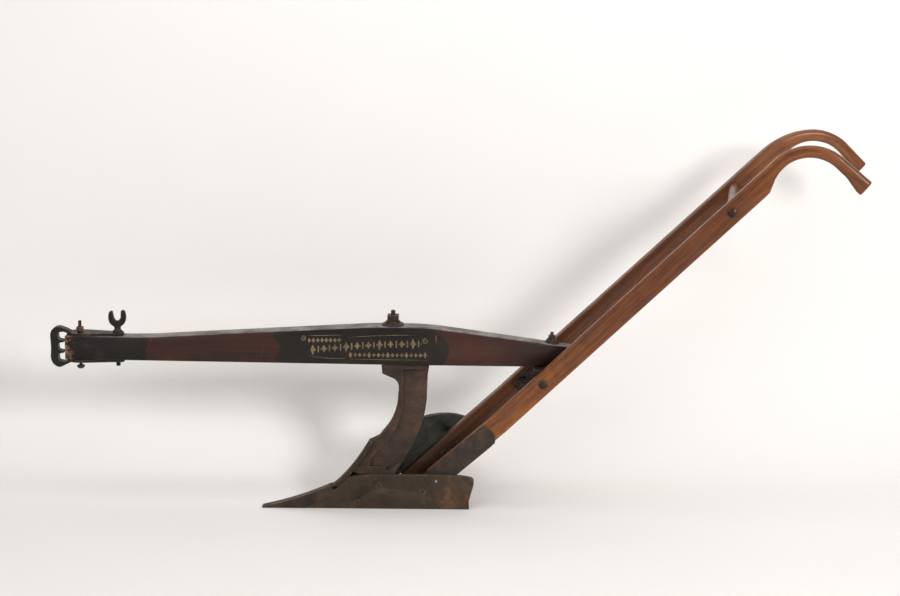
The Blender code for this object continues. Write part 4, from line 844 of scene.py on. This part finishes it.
def inner_edge(hand, outer):
    """The inner edge: flared end, inside of the bend, shoulder and the bar's underside."""
    (apex_u, apex_z), angle, front, back = hand["apex"], hand["angle"], hand["front"], hand["back"]
    droop, upright = hand["droop"], math.pi / 2
    cut, inner = droop + END_SLANT, hand["inner"]
    heel = outer[-1] + Vector((-math.sin(cut), -math.cos(cut))) * GRIP_END
    down = Vector((math.cos(droop), -math.sin(droop)))
    waist = outer[-1] - down * hand["tip"] * 0.6 + Vector((down.y, -down.x)) * (GRIP_DEPTH + 0.0015)
    line = [heel, waist]
    line += arc((apex_u, apex_z - back), back - GRIP_DEPTH, upright - droop, upright, 24)
    along = Vector((math.cos(angle), math.sin(angle)))
    square = Vector((along.y, -along.x)) * BOARD_DEPTH
    knee = outer[FOOT_STEPS] + square
    centre = Vector((apex_u, apex_z - GRIP_DEPTH - inner))
    under = (knee - centre).dot(Vector((-along.y, along.x)))
    shoulder = upright + angle + math.acos(under / inner) - math.radians(2.0)
    line += arc(tuple(centre), inner, upright, shoulder, 40)[1:]
    step = knee + along * (along.dot(line[-1] - knee) - SHOULDER_RUN)
    return [*line, step, knee, outer[0] + square]


def depth_at(point, inward, line, fallback):
    """How far a line from the outer edge runs before it meets the inner edge."""
    nearest = None
    for a, b in zip(line, line[1:]):
        side = b - a
        cross = inward.x * side.y - inward.y * side.x
        if abs(cross) < 1e-12:
            continue
        away = a - point
        reach = (away.x * side.y - away.y * side.x) / cross
        share = (away.x * inward.y - away.y * inward.x) / cross
        if reach > 0.005 and -1e-6 <= share <= 1 + 1e-6 and (nearest is None or reach < nearest):
            nearest = reach
    return fallback if nearest is None else min(nearest, DEEPEST)


# %% Sections of a handle
CORNER_STEPS = 4
END_ROUND = ((0.0022, 0.0), (0.0007, 0.0012), (0.0, 0.0032))   # back from the end, in from the side


def section(depth, thickness, ease):
    """A rounded rectangle as (distance in from the outer edge, distance across) points."""
    ease = min(ease, 0.45 * depth, 0.45 * thickness)
    points = []
    corners = ((ease, ease, math.pi), (depth - ease, ease, 1.5 * math.pi),
               (depth - ease, thickness - ease, 0.0), (ease, thickness - ease, 0.5 * math.pi))
    for centre_in, centre_across, start in corners:
        for i in range(CORNER_STEPS + 1):
            turn = start + math.pi / 2 * i / CORNER_STEPS
            points.append((centre_in + ease * math.cos(turn), centre_across + ease * math.sin(turn)))
    return points


def handle_rows(hand):
    """Sections along the handle: place on the outer edge, way in, depth, ease, distance run."""
    outer = outer_edge(hand)
    inner = inner_edge(hand, outer)
    grip_start = hand["apex"][0] - hand["front"] * math.sin(hand["angle"])
    rows, run, depth = [], 0.0, BOARD_DEPTH
    for i, point in enumerate(outer):
        ahead = outer[min(i + 1, len(outer) - 1)] - outer[max(i - 1, 0)]
        inward = Vector((ahead.y, -ahead.x)).normalized()
        run += (point - outer[i - 1]).length if i else 0.0
        depth = depth_at(point, inward, inner, depth)
        rounding = min(1.0, max(0.0, (point.x - grip_start + 0.02) / 0.05))
        rows.append((point, inward, depth, BOARD_EASE + (GRIP_ROUND - BOARD_EASE) * rounding, run))
    return rows


def make_handle(node, hand):
    rows = handle_rows(hand)
    way = (rows[-1][0] - rows[-2][0]).normalized()
    tip, inward, depth, ease, run = rows[-1]
    caps = []
    for back, inset in END_ROUND:
        corner = tip - way * back + inward * inset
        caps.append((corner, inward, depth - 2 * inset, ease, run - back, inset))
    rows = [(*row, 0.0) for row in rows[:-1]] + caps
    bm = bmesh.new()
    stored = bm.verts.layers.float_vector.new(GRAIN_PLACE)
    rings = []
    for point, inward, depth, ease, run, inset in rows:
        ring = []
        for deep, across in section(depth, BOARD_THICKNESS - 2 * inset, ease):
            flat = point + inward * deep
            vertex = bm.verts.new((flat.x, flat.y, hand["side"] * (across + inset)))
            vertex[stored] = (run, deep, across)
            ring.append(vertex)
        rings.append(ring)
    for a, b in zip(rings, rings[1:]):
        for i in range(len(a)):
            j = (i + 1) % len(a)
            bm.faces.new((a[i], a[j], b[j], b[i]))
    bm.faces.new(rings[0])
    bm.faces.new(rings[-1])
    bmesh.ops.recalc_face_normals(bm, faces=bm.faces)
    mesh = bpy.data.meshes.new(node + "_bent")
    turn = Matrix.Rotation(hand["spread"], 4, "Z") @ Matrix.Rotation(math.pi / 2, 4, "X")
    bm.transform(Matrix.Translation(hand["place"]) @ turn)
    bm.to_mesh(mesh)
    bm.free()
    mesh.shade_smooth()
    mesh.set_sharp_from_angle(angle=math.radians(50.0))
    piece = bpy.data.objects.new(node + "_bent", mesh)
    bpy.context.scene.collection.objects.link(piece)
    return settle(piece, node, VARNISH)


for node, hand in (("handle_left", LEFT), ("handle_right", RIGHT)):
    made = make_handle(node, hand)
    corners = [made.matrix_world @ Vector(corner) for corner in made.bound_box]
    low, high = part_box(node)
    gap_low = [round(1000 * (min(c[i] for c in corners) - low[i]), 1) for i in range(3)]
    gap_high = [round(1000 * (max(c[i] for c in corners) - high[i]), 1) for i in range(3)]
    print(node, "against its solid in mm:", gap_low, gap_high, "points:", len(made.data.vertices))

# %% [markdown]
# ### Rung
#
# The rung is a turned stick between the handles. Its solid is kept, and only the stored grain place is
# new: it runs from handle to handle.

# %% Dress the rung
RUNG_RUN = (0.042, 1.0, 0.0)    # it leans back a little towards the right handle
rung = dressed("handle_rung", VARNISH, 0.0)
rung_low, rung_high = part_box("handle_rung")
rung_axis = Vector(RUNG_RUN).normalized()
rung_middle = (rung_low + rung_high) / 2
stored = rung.data.attributes.new(GRAIN_PLACE, "FLOAT_VECTOR", "POINT")
for vertex, row in zip(rung.data.vertices, stored.data):
    away = vertex.co - rung_middle
    along = away.dot(rung_axis)
    square = away - rung_axis * along
    row.vector = (along, square.x, square.z)
print("rung length in mm:", round(1000 * (rung_high.y - rung_low.y)))

# %% [markdown]
# ## Gilt ornament
#
# The black panel carried gilt work, now worn. Here it is a plain border pattern of lozenges, bars and
# scrolls that belongs to no maker. It could be painted in the shader, but thin inlays of real shape
# keep crisp borders from every side, so they are one mesh that lies a fifth of a millimetre proud.

# %% Gold leaf
def make_gold():
    made, tree, shader = material("worn_gilt")
    place = put(tree, "TexCoord").outputs["Object"]
    worn = patches(tree, place, 70.0, 0.52, 0.07)
    rubbed = patches(tree, place, 420.0, 0.50, 0.10)
    bald, thin = times(tree, worn, 0.75), times(tree, rubbed, 0.55)
    away = sum_of(tree, "MAXIMUM", bald, thin)
    cloudy = noise(tree, place, 35.0, 3.0)
    gilt = mixed(tree, remap(tree, cloudy, 0.3, 0.7), colour(150, 124, 84), colour(116, 94, 66))
    tree.links.new(mixed(tree, away, gilt, colour(52, 44, 39)), shader.inputs["Base Color"])
    tree.links.new(remap(tree, cloudy, 0.3, 0.7, 0.42, 0.60), shader.inputs["Roughness"])
    tree.links.new(remap(tree, away, 0.0, 1.0, 0.25, 0.0), shader.inputs["Metallic"])
    bump(tree, shader, times(tree, away, -1.0), 0.4, 0.0001)
    return made


GILT = make_gold()

# %% Shapes of the ornament
GILT_LIFT = 0.00008             # inner side of the leaf above the paint
GILT_THICKNESS = 0.00012
SCROLL_STEPS, LINE_STEPS = 26, 24
# Half the beam's width at the standard bolt, what it loses to each side, and over what length
HALF_WIDTH = 0.030
NOSE_LOSS, NOSE_RUN = 0.005, 0.75
TAIL_LOSS, TAIL_RUN = 0.0075, 0.495


def lozenge(x, z, wide, high):
    return [[(x - wide / 2, z), (x, z - high / 2), (x + wide / 2, z), (x, z + high / 2)]]


def bar(x, z, wide, high):
    return [[(x - wide / 2, z - high / 2), (x + wide / 2, z - high / 2),
             (x + wide / 2, z + high / 2), (x - wide / 2, z + high / 2)]]


def ribbon(points, widths):
    """A strip of quads along a line, with a width at each point."""
    pieces, edge = [], []
    for i, (x, z) in enumerate(points):
        before, after = points[max(i - 1, 0)], points[min(i + 1, len(points) - 1)]
        ahead = Vector((after[0] - before[0], after[1] - before[1])).normalized()
        half = widths[i] / 2
        edge.append(((x - ahead.y * half, z + ahead.x * half), (x + ahead.y * half, z - ahead.x * half)))
    for (a, b), (c, d) in zip(edge, edge[1:]):
        pieces.append([b, d, c, a])
    return pieces


def scroll(x, z, size, way):
    """A small spiral that ends a line, turned to the front (-1) or to the rear (1)."""
    points, widths = [], []
    for i in range(SCROLL_STEPS + 1):
        t = i / SCROLL_STEPS
        turn = 0.5 * math.pi + 3.2 * math.pi * t
        reach = size * (1 - 0.78 * t)
        across = reach * math.cos(turn) + 0.2 * size
        points.append((x + way * across, z - size + reach * math.sin(turn)))
        widths.append(0.0019 * (1 - 0.5 * t))
    return ribbon(points, widths)


def line_between(x0, z0, x1, z1, rise=0.0, thick=0.0016):
    """A line with a rise in its middle, thin at both ends."""
    points, widths = [], []
    for i in range(LINE_STEPS + 1):
        t = i / LINE_STEPS
        points.append((x0 + (x1 - x0) * t, z0 + (z1 - z0) * t + rise * 4 * t * (1 - t)))
        widths.append(thick * (0.35 + 0.65 * math.sin(math.pi * t)))
    return ribbon(points, widths)


# %% Lay the ornament on the beam
def ornament():
    """Three rows on the panel: a short upper row, a wide middle one that rises, and a lower rear one."""
    shapes = scroll(-0.247, 0.0800, 0.0078, -1)
    shapes += line_between(-0.236, 0.0800, -0.140, 0.0835)
    for i in range(8):
        shapes += lozenge(-0.232 + i * 0.0120, 0.0665 + i * 0.0004, 0.0088, 0.0150)
        shapes += lozenge(-0.226 + i * 0.0120, 0.0665 + i * 0.0004, 0.0024, 0.0040)
    for i in range(20):
        x = -0.222 + i * 0.0155
        tall = 0.0330 if i % 6 == 0 else 0.0225
        z = 0.0400 + 0.0215 * (i / 19) + 0.0045 * math.sin(math.pi * i / 19)
        shapes += lozenge(x, z, 0.0128, tall) if i % 2 == 0 else bar(x, z, 0.0040, 0.0185)
        shapes += lozenge(x + 0.0078, z, 0.0034, 0.0060)
    shapes += scroll(0.090, 0.0780, 0.0085, 1)
    shapes += line_between(-0.122, 0.0775, 0.066, 0.0865, 0.002, 0.0014)
    shapes += line_between(-0.232, 0.0225, -0.132, 0.0175, -0.003)
    for i in range(17):
        shapes += lozenge(-0.117 + i * 0.0130, 0.0275 + i * 0.0001, 0.0090, 0.0135 if i % 4 else 0.0190)
        shapes += lozenge(-0.1105 + i * 0.0130, 0.0275 + i * 0.0001, 0.0022, 0.0034)
    shapes += line_between(-0.118, 0.0150, 0.100, 0.0155, 0.0, 0.0013)
    return shapes


def beam_side(x, z, out):
    """A point on the beam's left side, given in the beam's own frame, out from the paint."""
    lost = NOSE_LOSS * min(1.0, -x / NOSE_RUN) if x < 0 else TAIL_LOSS * x / TAIL_RUN
    half = HALF_WIDTH - lost
    return Vector((x, -half - out, z))


def make_ornament():
    bm = bmesh.new()
    for shape in ornament():
        near = [bm.verts.new(beam_side(x, z, GILT_LIFT + GILT_THICKNESS)) for x, z in shape]
        far = [bm.verts.new(beam_side(x, z, GILT_LIFT)) for x, z in shape]
        bm.faces.new(near)
        bm.faces.new(far[::-1])
        for i in range(len(shape)):
            j = (i + 1) % len(shape)
            bm.faces.new((near[i], far[i], far[j], near[j]))
    bmesh.ops.recalc_face_normals(bm, faces=bm.faces)
    bm.transform(Matrix.Translation(beam_hinge["pos_m"]) @ Matrix.Rotation(BEAM_PITCH, 4, "Y"))
    mesh = bpy.data.meshes.new("gilt_ornament")
    bm.to_mesh(mesh)
    bm.free()
    mesh.materials.append(GILT)
    piece = bpy.data.objects.new("gilt_ornament", mesh)
    bpy.context.scene.collection.objects.link(piece)
    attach(piece, "beam")
    return piece


print("ornament faces:", len(make_ornament().data.polygons))
